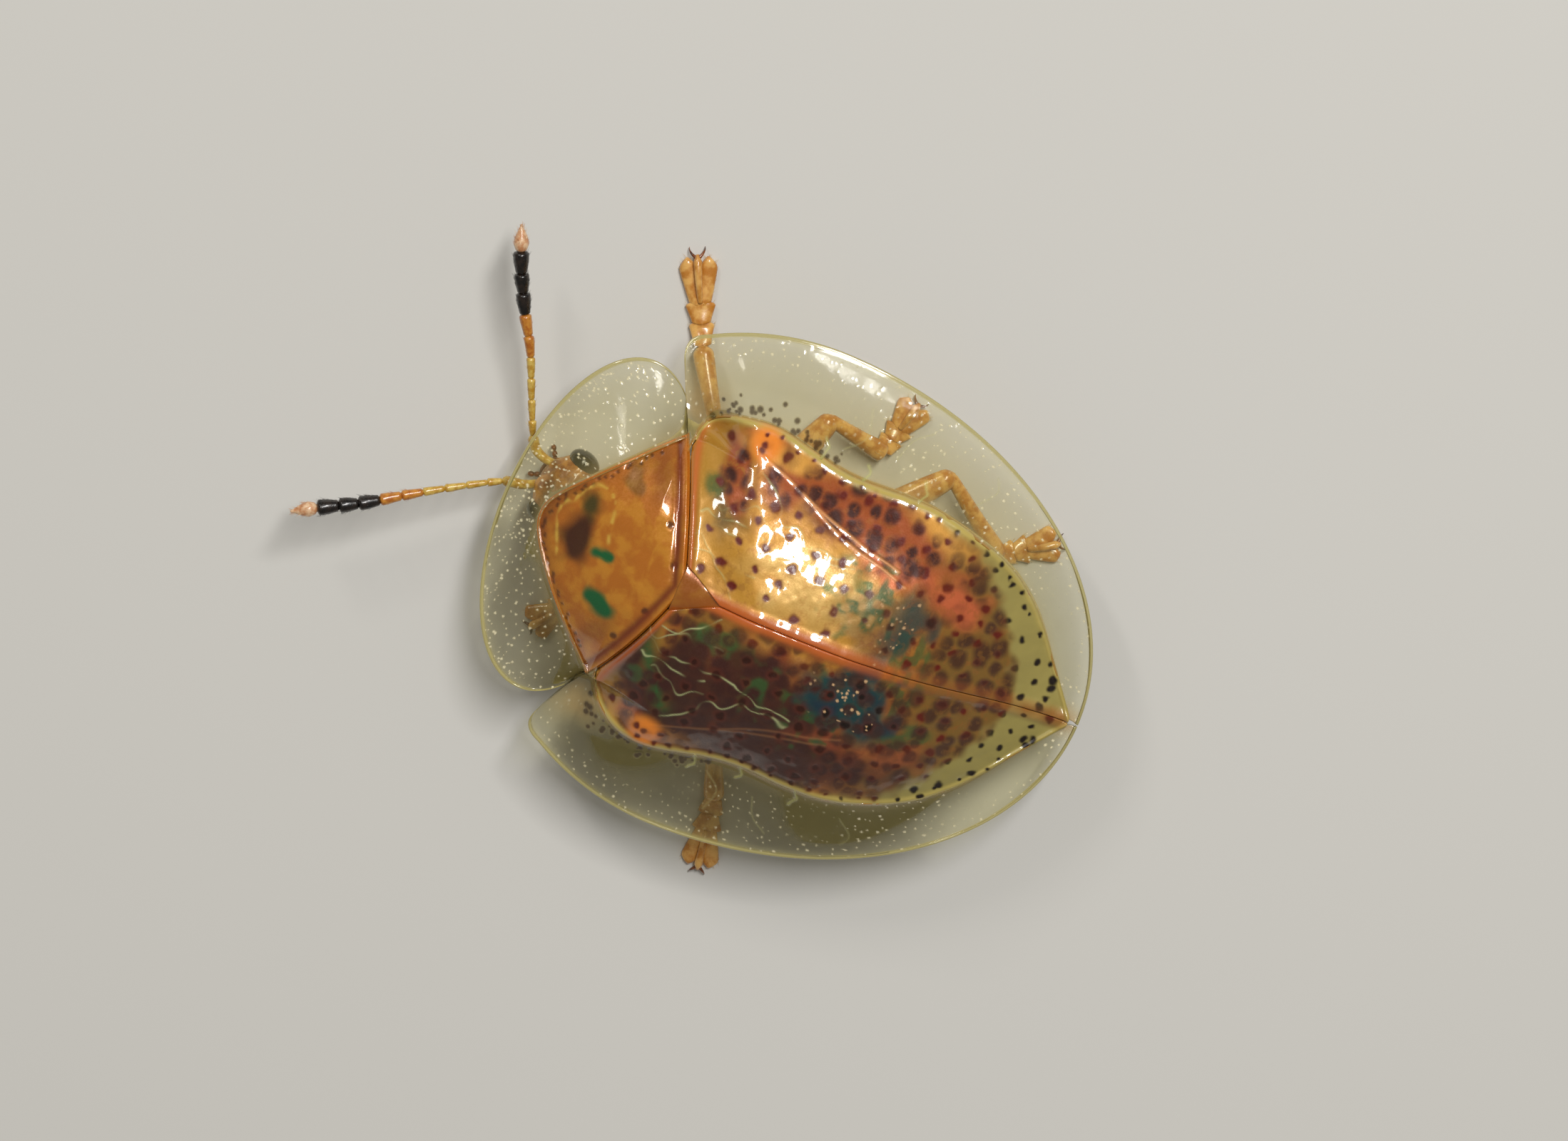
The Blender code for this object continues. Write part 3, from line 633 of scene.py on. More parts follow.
def pitPlaces(seed):
    # Punctures in lengthwise rows, closer together towards the tail
    random = np.random.default_rng(seed)
    places, radii = [], []
    for row, share in enumerate(wingLook["pitRows"]):
        y = 2.05 - 0.4 * share + 0.13 * (row % 2)
        while y < 6.4:
            y += lerp(*wingLook["pitSpacing"], (y - 2) / 4.3) * random.uniform(0.8, 1.22)
            x = (share + random.normal(0, 0.016)) * float(discHalfWidth(y))
            size = wingLook["pitRadius"] * random.uniform(0.7, 1.15) * (0.85 if y > 5 else 1.0)
            if random.random() > (0.06 if y < 5.7 or row % 2 == 0 else 0.8):
                places.append((x, y))
                radii.append(size)
    for y in np.arange(2.4, 6.4, 0.2):  # a row close along the border
        places.append((float(discHalfWidth(y)) - random.uniform(0.07, 0.11), y + random.uniform(-0.05, 0.05)))
        radii.append(random.uniform(0.03, 0.05))
    return np.array(places), np.array(radii)


def blotchPlaces(seed):
    # Dark blotches under the surface, loosely spread
    random = np.random.default_rng(seed)
    stepX, stepY = wingLook["blotchSpacing"]
    places = np.stack(np.meshgrid(np.arange(0.15, 1.9, stepX), np.arange(2, 6.3, stepY)), -1).reshape(-1, 2)
    places = places + random.uniform(-0.35, 0.35, places.shape) * (stepX, stepY)
    return places, random.uniform(*wingLook["blotchRadius"], len(places))


def wingMarks(x, y, frontY, side, seed):
    # Fields of the pattern, each 0 to 1, and the relief that goes with them
    paintedShade = 1.0 if side > 0 else 0.0  # 1 on the left wing case, which is painted as in shade: darker and greener than the right, though both are alike
    disc = discHalfWidth(y)
    bandX, bandY = np.array(wingLook["bandEdge"]).T
    edgeX = np.minimum(np.interp(y, bandY, bandX), disc - 0.03) - 0.03 * (1 + wander(x, y, 0.15, 11))
    marks = {}
    marks["front"] = patch(x, y, (0.95, 2.05), (1.1, 0.5), seed=21)
    # Each factor below that depends on the side paints shade on the left wing case: less gold, pale gold,
    # coral, yellow and costa lines, more mahogany, maroon, green, teal, blue, dark blotches and veins
    marks["olive"] = (0.8 + 0.2 * paintedShade) * highest(
        patch(x, y, (0.8, 2.45), (0.42, 0.26), -15, 0.5, 0.6, seed=22),
        patch(x, y, (0.3, 2.75), (0.24, 0.2), 0, 0.5, 0.6, seed=23) * 0.6,
    )
    marks["gold"] = patch(x, y, (0.6, 3.35), (0.75, 0.95), seed=3) * (1 - 0.55 * paintedShade)
    # Pale gold where the highlights fall, partly a painted highlight: strong on the right wing case, faint on
    # the left
    bright = patch(x, y, (0.55, 3.55), (0.4, 0.6), edge=0.5, ragged=0.6, seed=4)
    marks["bright"] = bright * (0.6 - 0.5 * paintedShade)
    marks["mahogany"] = highest(
        patch(x, y, (1.5, 4.0), (0.42, 1.4), 8, seed=5),
        patch(x, y, (1.4, 2.3), (0.4, 0.16), -20, ragged=0.5, seed=6),
        paintedShade * patch(x, y, (0.9, 3.3), (0.7, 1.1), ragged=0.6, seed=27),
    )
    # Dark maroon over the left wing case only: painted shade
    marks["maroon"] = 0.9 * paintedShade * smooth((x - 0.12) / 0.3) * highest(
        patch(x, y, (0.95, 3.3), (0.95, 1.5), 0, 0.35, 0.45, 0.3, seed=47),
        0.7 * patch(x, y, (1.2, 5.1), (0.4, 0.5), 20, 0.5, 0.5, seed=48),
    )
    marks["coral"] = (1 - 0.6 * paintedShade) * highest(
        0.9 * patch(x, y, (0.97, 5.08), (0.2, 0.42), 12, 0.6, 0.5, seed=7),
        0.8 * patch(x, y, (1.02, 4.3), (0.13, 0.4), 15, 0.6, 0.5, seed=8),
    )
    rear = smooth((y - 4.7 - 0.25 * wander(x, y, 0.3, 9)) / 0.6)
    marks["rear"] = rear * (1 - marks["coral"])
    marks["yellow"] = 0.85 * (1 - 0.7 * paintedShade) * highest(
        patch(x, y, (1.58, 4.75), (0.14, 0.4), 20, 0.7, 0.3, seed=24),
        patch(x, y, (1.72, 2.75), (0.1, 0.5), 0, 0.7, 0.3, seed=25),
    )
    softened = 0.5 + (x - edgeX - 0.08) / 0.3 + 0.35 * wander(x, y, 0.14, 49)
    marks["band"] = smooth(softened) * smooth((y - 3.7) / 0.5)
    arc = strokes(x + 0.05 * wander(x, y, 0.2, 30), y, (wingLook["greenArc"],), 0.1)
    speckled = smooth(0.5 + 1.5 * wander(x, y, 0.08, 37))
    marks["green"] = highest(
        0.7 * patch(x, y, (1.18, 2.12), (0.12, 0.12), ragged=0.5, seed=12),
        0.8 * speckled * patch(x, y, (0.72, 4.15), (0.4, 0.36), ragged=0.6, grain=0.12, seed=13),
        0.7 * speckled * patch(x, y, (0.25, 4.8), (0.3, 0.3), ragged=0.6, grain=0.12, seed=29),
        0.9 * paintedShade * arc,
        0.7 * paintedShade * patch(x, y, (0.35, 2.85), (0.14, 0.3), ragged=0.6, grain=0.12, seed=31),
        0.7 * paintedShade * patch(x, y, (0.74, 3.44), (0.3, 0.14), ragged=0.6, grain=0.12, seed=32),
        0.7 * paintedShade * patch(x, y, (0.7, 5.2), (0.12, 0.3), 20, ragged=0.6, grain=0.12, seed=38),
    )
    teal = patch(x, y, (0.5, 4.42), (0.42, 0.52), -12, 0.3, 0.4, 0.15, seed=14)
    marks["teal"] = teal * lerp(0.3 + 0.5 * smooth((y - 4.35) / 0.3), 1, paintedShade)
    blue = (0.3 + 0.4 * paintedShade) * (0.7 + wander(x, y, 0.14, 15))
    marks["blue"] = np.clip(marks["teal"] * blue, 0, 1)
    blotches = dots(x + 0.03 * wander(x, y, 0.1, 39), y, *blotchPlaces(seed + 60), 0.6)
    # Dark blotches in the cuticle; on the left wing case they also spread over the whole case, with a
    # near-black strip along the border, as painted shade
    marks["blotch"] = (1 - marks["band"]) * highest(
        blotches * highest(marks["mahogany"], 0.85 * marks["rear"], 0.75 * paintedShade),
        0.9 * paintedShade * patch(x, y, (1.56, 3.6), (0.2, 1.2), 0, 0.5, 0.4, seed=40),
    ) * (1 - 0.8 * marks["yellow"])
    wobble = 0.02 * wander(x, y, 0.4, 16)
    marks["costa"] = (0.8 - 0.6 * paintedShade) * strokes(x + wobble, y, wingLook["costae"], 0.014)
    bentX, bentY = x + 0.08 * wander(x, y, 0.17, 35), y + 0.08 * wander(x, y, 0.17, 36)
    faded = smooth(0.6 + 0.8 * wander(x, y, 0.2, 41))
    marks["vein"] = (0.4 + 0.45 * paintedShade) * faded * strokes(bentX, bentY, wingLook["veins"], 0.01)
    suture = np.exp(-((x / wingLook["sutureWidth"]) ** 4))
    base = np.exp(-(((y - frontY - 0.05) / 0.045) ** 2))
    marks["suture"] = highest(suture * (1 - 0.75 * smooth((y - 3.8) / 1.5)), 0.85 * base)
    border = np.exp(-(((x - disc + 0.035) / 0.045) ** 2))
    marks["border"] = border * (1 - 0.4 * smooth((y - 4.9) / 0.6))
    fromCallus = np.hypot(x - wingLook["callus"][0], y - wingLook["callus"][1])
    marks["callus"] = 1 - smooth((fromCallus - 0.1) / 0.16)
    places, radii = pitPlaces(seed)
    places = np.concatenate([places, [wingLook["callus"]]])
    radii = np.append(radii, 0.055)
    unevenX, unevenY = x + 0.018 * wander(x, y, 0.06, 54), y + 0.018 * wander(x, y, 0.06, 55)
    pits = dots(unevenX, unevenY, places, radii, 0.6)
    halo = dots(unevenX, unevenY, places, radii * 1.7, 1.0)
    black = highest(marks["band"], marks["teal"], 0.85 * marks["maroon"], 0.6 * marks["blotch"])
    marks["halo"] = halo * (0.3 + 0.4 * highest(marks["mahogany"], marks["rear"])) * (1 - marks["band"])
    marks["pit"] = pits * (1 - black)
    marks["blackPit"] = pits * black
    random = np.random.default_rng(seed + 40)
    sparks = random.normal((0.5, 4.42), (0.2, 0.25), (34, 2))
    marks["glint"] = 0.85 * dots(x, y, sparks, random.uniform(0.01, 0.024, 34)) * marks["teal"]
    relief = -wingLook["pitDepth"] * pits + 0.011 * marks["costa"] + 0.005 * marks["vein"]
    relief += 0.05 * (1 - smooth(fromCallus / 0.3))
    relief += wingLook["sutureHeight"] * suture - 0.01 * np.exp(-((x / 0.008) ** 2))
    relief += wingLook["baseRidge"] * base + 0.028 * border
    relief += 0.014 * wander(x, y, 0.42, 17) + 0.011 * wander(x, y, 0.2, 18)
    relief += 0.0025 * wander(x, y, 0.07, 19)
    return marks, relief


def makeWingDisc(sideName, side, seed):
    rollRows, rollRadius, rollDepth = wingLook["roll"]
    s = np.linspace(0, 1, wingLook["columns"])[None, :]
    half, tip = form["scutellum"]

    def planX(y):
        inner = np.maximum(wingLook["sutureGap"], half * (tip - y) / (tip - form["seamMiddleY"]))
        return lerp(np.minimum(inner, discHalfWidth(y) - 0.01), discHalfWidth(y), s)

    frontY = seamY(s * 1.6)
    for _ in range(20):  # settles on the seam wherever the disc's border lies
        frontY = (frontY + seamY(planX(frontY))) / 2
    frontY = frontY + 0.01
    turn = np.linspace(0, math.pi / 2, rollRows)[1:, None]
    rolledY = frontY + rollRadius * (1 - np.cos(turn))
    along = np.linspace(0, 1, wingLook["rows"] - rollRows + 1)[1:, None]
    y = np.concatenate([frontY, rolledY, lerp(frontY + rollRadius, form["discEndY"], along)])
    drop = np.zeros((len(y), 1))
    drop[0] = rollDepth
    drop[1:rollRows] = rollRadius * (1 - np.sin(turn))
    x = planX(y)
    marks, relief = wingMarks(x, y, frontY, side, seed)
    height = shellTop(x, y)
    top = np.stack([side * x, y, height + relief - drop], -1)
    bottom = top.copy()
    bottom[..., 2] = height - wingLook["thickness"]
    bottom[0, :, 2] = top[0, :, 2] - 0.03
    skin = slab(top, bottom, marks, wingLook["step"])
    finishPiece(f"wing_case_{sideName}", skin, gold, f"elytron_{sideName}")


def wingOutline(share):
    # Outer edge of a wing case: a rounded shoulder, then the two half ellipses to the tail
    t = np.clip(share / form["shoulderShare"], 0, 1)[:, None]
    joined = np.array((float(outlineHalfWidth(form["shoulderEndY"])), form["shoulderEndY"]))
    corner = np.array(form["shoulder"]) * (1 - t) ** 2 + np.array(form["shoulderTip"]) * 2 * t * (1 - t)
    corner = corner + joined * t**2
    first = math.asin((form["shoulderEndY"] - form["widestY"]) / form["frontReach"])
    last = math.acos(0.01 / form["halfWidth"])
    rest = np.clip((share - form["shoulderShare"]) / (1 - form["shoulderShare"]), 0, 1)
    angle = lerp(first, last, rest)
    reach = np.where(angle < 0, form["frontReach"], form["length"] - form["widestY"])
    ellipse = np.stack([form["halfWidth"] * np.cos(angle), form["widestY"] + reach * np.sin(angle)], -1)
    return np.where(share[:, None] < form["shoulderShare"], corner, ellipse)


marginLook = {
    "rows": 430,
    "across": 64,
    "beadRadius": 0.026,
    "thickness": 0.045,
    "rimRise": 0.035,  # the outermost stretch turns up a little and catches the light
    "speckSpacing": 0.11,
    "speckRadius": 0.018,
}


def speckPlaces(lowCorner, highCorner, seed):
    # Specks on a loose grid
    random = np.random.default_rng(seed)
    spacing = marginLook["speckSpacing"]
    xs = np.arange(lowCorner[0], highCorner[0], spacing)
    ys = np.arange(lowCorner[1], highCorner[1], spacing)
    places = np.stack(np.meshgrid(xs, ys), -1).reshape(-1, 2)
    places = places + random.uniform(-0.5, 0.5, places.shape) * spacing
    return places, marginLook["speckRadius"] * random.uniform(0.5, 1.3, len(places))


def marginSkin(inner, outer, top, fields):
    # Closed skin of a clear margin: over the top from inner to outer, round the bead and back beneath
    count = marginLook["across"]
    share = np.linspace(0, 1, count)[None, :, None]
    plan = lerp(inner[:, None], outer[:, None], share)
    height = top(plan[..., 0], plan[..., 1])
    marks, relief = fields(plan[..., 0], plan[..., 1], share[..., 0])
    rim = smooth((share[..., 0] - 0.84) / 0.16)
    marks["bead"] = np.broadcast_to(0.4 * rim, plan.shape[:2])
    height = height + marginLook["rimRise"] * rim
    upper = np.concatenate([plan, (height + relief)[..., None]], -1)
    lower = np.concatenate([plan, (height - marginLook["thickness"])[..., None]], -1)[:, ::-4]
    radius = marginLook["beadRadius"]
    outward = outer - inner
    outward = outward / np.linalg.norm(outward, axis=1)[:, None]
    angle = np.radians(np.linspace(115, -115, 11))
    beadPlan = outer[:, None] + outward[:, None] * ((np.cos(angle) - 1) * radius)[None, :, None]
    beadHeight = height[:, -1:] - marginLook["thickness"] / 2 + np.sin(angle) * radius
    bead = np.concatenate([beadPlan, beadHeight[..., None]], -1)
    keep = count - 3  # the sheet stops short of the bead, which takes over
    points, faces = loft(np.concatenate([upper[:, :keep], bead, lower[:, 1:]], 1))
    around = keep + len(angle) + lower.shape[1] - 1
    spread = {}
    for name in ("amber", "vein", "speck", "pit", "bead"):
        full = np.zeros((len(inner), around))
        full[:, :keep] = marks.get(name, np.zeros(plan.shape[:2]))[:, :keep]
        if name == "bead":
            full[:, keep : keep + len(angle)] = 1
        spread[name] = np.append(full.ravel(), (0.0, 0.0))
    return points, faces, spread


def makeWingMargin(sideName, side, seed):
    share = np.linspace(0, 1, marginLook["rows"])
    inner = walk(borderLine[borderLine[:, 1] < form["discEndY"]], share)
    inner[:, 0] = np.maximum(0.012, inner[:, 0] - 0.03)
    random = np.random.default_rng(seed + 1)
    pitY = random.uniform(1.75, 3.3, 44)
    pitX = discHalfWidth(pitY) + 0.03 + random.uniform(0, 1, 44) ** 2 * 0.3 * (1 - 0.4 * (pitY - 1.75))
    pits, pitRadii = np.stack([pitX, pitY], -1), random.uniform(0.025, 0.06, 44)
    specks = speckPlaces((0, 1.1), (3.0, 7.0), seed)
    spurs = (((1.78, 3.62), (1.88, 3.68), (1.95, 3.63)), ((1.8, 4.3), (1.9, 4.36), (2.0, 4.3)),
             ((1.86, 3.1), (1.96, 3.14), (2.04, 3.08)))
    wrinkles = (((2.0, 3.3), (2.2, 3.5), (2.5, 3.45)), ((1.95, 4.9), (2.15, 5.1), (2.3, 5.05)),
                ((2.1, 3.9), (2.35, 4.0), (2.5, 4.2)))

    def fields(x, y, out):
        marks = {
            # Pale specks are painted glints, denser towards the rim; each sits in a small dimple
            "speck": dots(x, y, *specks) * highest(
                smooth(0.35 + 0.9 * wander(x, y, 0.5, 53)),
                0.9 * smooth((out - 0.5) / 0.3),
            ),
            "pit": dots(x, y, pits, pitRadii, 0.6),
            "amber": highest(
                np.exp(-((out / 0.06) ** 2)),
                0.35 * np.exp(-((out / 0.16) ** 2)),
                0.55 * patch(x, y, (1.85, 1.7), (0.3, 0.42), 35, 0.6, seed=31),
                0.7 * patch(x, y, (0.0, 6.86), (0.22, 0.2), 0, 0.5, seed=32),
            ),
            "vein": highest(
                0.8 * strokes(x + 0.03 * wander(x, y, 0.1, 42), y, spurs, 0.022),
                0.4 * strokes(x, y, wrinkles, 0.012),
            ),
        }
        relief = 0.02 * np.exp(-((out / 0.05) ** 2)) - 0.004 * marks["speck"] + 0.02 * marks["vein"]
        relief += 0.008 * wander(x, y, 0.35, 33) + 0.002 * wander(x, y, 0.1, 34)
        return marks, relief

    points, faces, spread = marginSkin(inner, wingOutline(share), shellTop, fields)
    points[:, 0] *= side
    skin = points, faces, spread
    finishPiece(f"clear_margin_{sideName}", skin, clear, f"elytron_{sideName}")


for sideName, side in (("left", 1), ("right", -1)):
    makeWingDisc(sideName, side, 101 if side > 0 else 102)
    makeWingMargin(sideName, side, 111 if side > 0 else 112)
print("wing cases made")

# Pronotum and scutellum

shieldLook = {
    "rows": 121,
    "columns": 181,
    "step": 6,
    "thickness": 0.14,
    "cornerAngle": 117,  # of the outline's ellipse, where it meets the seam
    "cornerX": 1.5,  # where the disc's border meets the seam
    # centre, half sizes and turn of each spot
    "brownSpot": ((0.03, 0.9), (0.27, 0.18), 0),
    "darkSpot": ((-0.4, 0.94), (0.15, 0.13), 0),
    "greenSpots": (((0.06, 1.27), (0.07, 0.13), 10), ((0.6, 1.44), (0.11, 0.2), -19)),
    "line": ((0.3, 0.8), (0.04, 0.68), (-0.19, 0.65), (-0.34, 0.75), (-0.51, 0.82), (-0.6, 0.91),
             (-0.61, 1.06), (-0.5, 1.19), (-0.3, 1.22), (-0.1, 1.27)),
    "dimples": ((-0.59, 1.82), (-0.2, 2.03), (0.42, 1.93), (0.86, 1.72)),
}


def shieldMarks(x, y):
    back = seamY(x) - y
    toBorder = y - shieldDiscFront(x)
    random = np.random.default_rng(49)
    rowX = np.linspace(-1.2, 1.2, 40) + random.uniform(-0.02, 0.02, 40)
    row = np.stack([rowX, shieldDiscFront(rowX) + 0.09 + random.uniform(-0.03, 0.03, 40)], -1)
    punctures = dots(x, y, row, 0.028)
    dimples = dots(x, y, np.array(shieldLook["dimples"]), 0.055)
    marks = {}
    marks["deep"] = highest(
        0.85 * (1 - smooth(toBorder / 0.26)) * (1 - smooth(np.abs(x) / 1.2)),
        0.6 * (1 - smooth(toBorder / 0.12)),
        0.5 * patch(x, y, (-1.0, 1.55), (0.3, 0.14), 25, 0.6, seed=41),
        0.45 * patch(x, y, (0.95, 1.5), (0.3, 0.12), -25, 0.6, seed=51),
    )
    brown = patch(x, y, *shieldLook["brownSpot"], 0.5, 0.35, 0.15, 42)
    marks["brown"] = highest(0.8 * dimples, 0.7 * punctures, 0.95 * brown)
    marks["dark"] = highest(
        0.9 * patch(x, y, *shieldLook["darkSpot"], 0.5, 0.4, 0.12, 43),
        0.5 * patch(x, y, (-0.85, 1.3), (0.2, 0.1), 20, 0.6, 0.6, 0.12, 46),
    )
    marks["green"] = highest(
        *(patch(x, y, *spot, 0.35, 0.35, 0.1, 44) for spot in shieldLook["greenSpots"])
    )
    beads = 0.8 * smooth(0.4 + 1.3 * wander(x, y, 0.05, 45))
    bent = x + 0.03 * wander(x, y, 0.12, 52)
    marks["line"] = np.clip(beads * strokes(bent, y, (shieldLook["line"],), 0.022), 0, 1)
    hindLip = 1 - smooth(back / 0.07)
    frontLip = 1 - smooth((toBorder + 0.01) / 0.06)
    marks["ridge"] = 0.9 * np.exp(-(((back - 0.12) / 0.05) ** 2))
    marks["lip"] = highest(0.8 * hindLip, 0.9 * frontLip)
    relief = 0.012 * wander(x, y, 0.4, 47) + 0.005 * wander(x, y, 0.14, 48)
    relief += 0.02 * hindLip - 0.022 * np.exp(-(((back - 0.13) / 0.04) ** 2))
    relief += 0.02 * frontLip - 0.012 * dimples - 0.008 * punctures
    return marks, relief


def makeShieldDisc():
    rows, columns = shieldLook["rows"], shieldLook["columns"]
    x = shieldLook["cornerX"] * np.sin(np.linspace(-1, 1, columns) * math.pi / 2)[None, :]
    frontY = np.minimum(shieldDiscFront(x), seamY(x) - 0.02)
    y = lerp(frontY, seamY(x), np.linspace(0, 1, rows)[:, None])
    x = np.broadcast_to(x, y.shape)
    marks, relief = shieldMarks(x, y)
    drop = 0.06 * (1 - smooth((seamY(x) - y) / 0.04))
    top = np.stack([x, y, shieldTop(x, y) + relief - drop], -1)
    bottom = top.copy()
    bottom[..., 2] = shieldTop(x, y) - shieldLook["thickness"]
    skin = slab(top, bottom, marks, shieldLook["step"])
    finishPiece("pronotum_disc", skin, amber, "pronotum")


def makeShieldMargin():
    # The clear margin runs from one hind corner round the front to the other
    share = np.linspace(-1, 1, 520)
    angle = math.radians(shieldLook["cornerAngle"]) * share
    centre = form["shieldCentreY"]
    outer = np.stack([form["shieldHalfWidth"] * np.sin(angle), centre * (1 - np.cos(angle))], -1)
    innerX = shieldLook["cornerX"] * np.sin(np.abs(share) ** 0.9 * math.pi / 2) * np.sign(share)
    innerY = np.minimum(shieldDiscFront(innerX) + 0.03, seamY(innerX) - 0.01)
    inner = np.stack([innerX * 0.99, innerY], -1)
    specks = speckPlaces((-2.1, 0), (2.1, 1.9), 51)
    # Fine painted glints gather over the head and along the front rim
    random = np.random.default_rng(56)
    gathered = random.normal(0, 1, (90, 2)) * (0.42, 0.16) + (0.0, 0.38)
    atRim = random.uniform(-1.6, 1.6, 120)
    inset = random.exponential(0.07, 120) + 0.05
    alongRim = np.stack([(2.0 - inset) * np.sin(atRim), 1 - (1 - inset) * np.cos(atRim)], -1)
    glints = np.concatenate([gathered, alongRim])
    sizes = random.uniform(0.008, 0.02, len(glints))

    def fields(x, y, out):
        marks = {
            "speck": highest(dots(x, y, *specks), dots(x, y, glints, sizes)),
            "amber": highest(0.9 * np.exp(-((out / 0.06) ** 2)), 0.4 * np.exp(-((out / 0.2) ** 2))),
        }
        relief = 0.02 * np.exp(-((out / 0.05) ** 2)) - 0.005 * marks["speck"]
        relief += 0.008 * wander(x, y, 0.3, 53) + 0.002 * wander(x, y, 0.1, 54)
        return marks, relief

    skin = marginSkin(inner, outer, shieldTop, fields)
    finishPiece("pronotum_margin", skin, clear, "pronotum")


def makeScutellum():
    half, tip = form["scutellum"]
    t = np.linspace(0, 1, 37)[:, None]
    c = np.linspace(-1, 1, 31)[None, :]
    y = lerp(form["seamMiddleY"] - 0.08, tip - 0.01, t) + 0.0 * c
    x = c * (half * (tip - y) / (tip - form["seamMiddleY"]) + 0.02)
    z = shellTop(x, y) - 0.01 - 0.02 * np.abs(c) ** 4 + 0.005 * wander(x, y, 0.12, 61)
    top = np.stack([x, y, z], -1)
    bottom = top - np.array((0, 0, 0.1))
    plain = np.zeros(y.shape)
    marks = {name: plain for name in ("brown", "dark", "green", "line", "lip")}
    marks |= {"deep": plain + 0.5, "ridge": 0.8 * np.abs(c) ** 6 + plain}
    finishPiece("scutellum_plate", slab(top, bottom, marks, 6), amber, "scutellum")


makeShieldDisc()
makeShieldMargin()
makeScutellum()
print("pronotum made")

# Head, eyes and mouthparts

headLook = {
    "centre": np.array((-0.19, 0.645, 0.56)),
    "halfSizes": np.array((0.46, 0.31, 0.26)),
    "turn": -18,
    "eye": np.array((0.38, -0.04, 0.04)),
    "eyeSizes": np.array((0.13, 0.19, 0.16)),
    "muzzle": (np.array((0, -0.17, -0.2)), np.array((0.26, 0.15, 0.2))),
    "mouth": np.array((0, -0.23, -0.38)),
    "feelerSockets": 0.14,
}


def headPlace(offset):
    turn = math.radians(headLook["turn"])
    spin = np.array(((math.cos(turn), -math.sin(turn), 0), (math.sin(turn), math.cos(turn), 0), (0, 0, 1)))
    return np.asarray(offset, float) @ spin.T + headLook["centre"]


def makeHead():
    # Capsule with a groove between the eyes and a swelling over each feeler's root, and a muzzle
    unit, points = ballPoints(headLook["halfSizes"], 50, 90)
    u, v, w = unit[..., 0], unit[..., 1], unit[..., 2]
    swell = -0.05 * np.exp(-((u / 0.08) ** 2)) * smooth(0.5 - v)
    for side in (1, -1):
        swell += 0.09 * np.exp(-(((u - side * 0.3) ** 2 + (w - 0.02) ** 2) / 0.03)) * smooth(-v * 2)
    swell += 0.012 * wander(u * 3, v * 3 + w * 5, 0.25, 71)
    muzzleAt, muzzleSizes = headLook["muzzle"]
    _, muzzle = ballPoints(muzzleSizes, 26, 48)
    skins = [loft(headPlace(points * (1 + swell)[..., None])), loft(headPlace(muzzle + muzzleAt))]
    finishPiece("head_capsule", gather(skins), headChitin, "head")


def makeEye(name, side):
    # Domed facets, drawn about three times coarser than real
    unit, points = ballPoints(headLook["eyeSizes"], 44, 70)
    row, column = np.arange(44)[:, None], np.arange(70)[None, :]
    bulge = np.cos(row * math.pi / 1.5) * np.cos((column + row / 2) * math.pi / 1.5)
    rings = points * (1 + 0.012 * bulge)[..., None] + headLook["eye"] * (side, 1, 1)
    finishPiece(f"{name}_facets", loft(headPlace(rings)), eyeChitin, name)


def makeMouth():
    # Upper lip, jaws and jointed palps
    centre = headLook["mouth"]
    parts = []
    for halfSizes, offset in (((0.16, 0.1, 0.07), (0, -0.02, 0.04)), ((0.1, 0.12, 0.05), (0, 0.02, -0.02))):
        _, points = ballPoints(np.array(halfSizes), 16, 28)
        parts.append(loft(headPlace(points + centre + offset)))
    joints = np.array(((0.07, 0, 0), (0.13, -0.06, -0.01), (0.18, -0.12, -0.02), (0.22, -0.17, -0.04)))
    for side in (1, -1):
        for a, b in zip(joints, joints[1:]):
            path = lerp(a, b, np.linspace(-0.05, 1.05, 9)[:, None]) * (side, 1, 1) + centre
            shape = 0.032 * np.sqrt(np.sin(np.linspace(0.08, 0.96, 9) * math.pi))
            parts.append(loft(tubeRings(headPlace(path), shape, sides=10)))
    finishPiece("mouth", gather(parts), mouthChitin, "mouthparts")


makeHead()
makeEye("eye_left", 1)
makeEye("eye_right", -1)
makeMouth()
print("head made")

# Feelers

feelerLook = {
    "paths": {
        "right": ((-0.42, 0.26, 0.48), (-0.54, 0.11, 0.5), (-1.0, -0.1, 0.6), (-1.54, -0.33, 0.72),
                  (-1.95, -0.56, 0.8), (-2.4, -0.78, 0.88), (-2.88, -0.97, 0.95)),
        "left": ((-0.03, 0.17, 0.46), (0.02, -0.06, 0.5), (0.26, -0.52, 0.62), (0.53, -0.99, 0.74),
                 (0.78, -1.4, 0.83), (1.0, -1.82, 0.9), (1.17, -2.13, 0.95)),
    },
    "lengths": (0.17, 0.06, 0.09, 0.09, 0.09, 0.09, 0.09, 0.09, 0.08, 0.09, 0.11),
    "thickness": (0.125, 0.095, 0.09, 0.095, 0.1, 0.12, 0.14, 0.165, 0.17, 0.18, 0.175),
    "parts": (("scape", 0, 1, stemChitin), ("stem", 1, 5, stemChitin), ("ochre", 5, 7, ochreChitin),
              ("club", 7, 10, clubChitin), ("tip", 10, 11, tipChitin)),
    "hairs": {"club": 60, "tip": 70},
}


def segmentProfile(kind):
    # Thickness along one segment: a narrow root, then swelling to a rounded far end
    p = np.linspace(0, 1, 18)
    root = np.sqrt(np.clip(p / 0.12, 0.04, 1))
    end = np.sqrt(np.clip((1 - p) / 0.12, 0.02, 1))
    if kind == "tip":
        return p, root * (0.7 + 0.3 * smooth(p / 0.35)) * (1 - 0.96 * smooth((p - 0.3) / 0.72)) ** 0.7
    body = 0.74 + 0.26 * smooth(p / 0.7) if kind == "club" else 0.76 + 0.24 * smooth(p / 0.9)
    return p, root * end * body


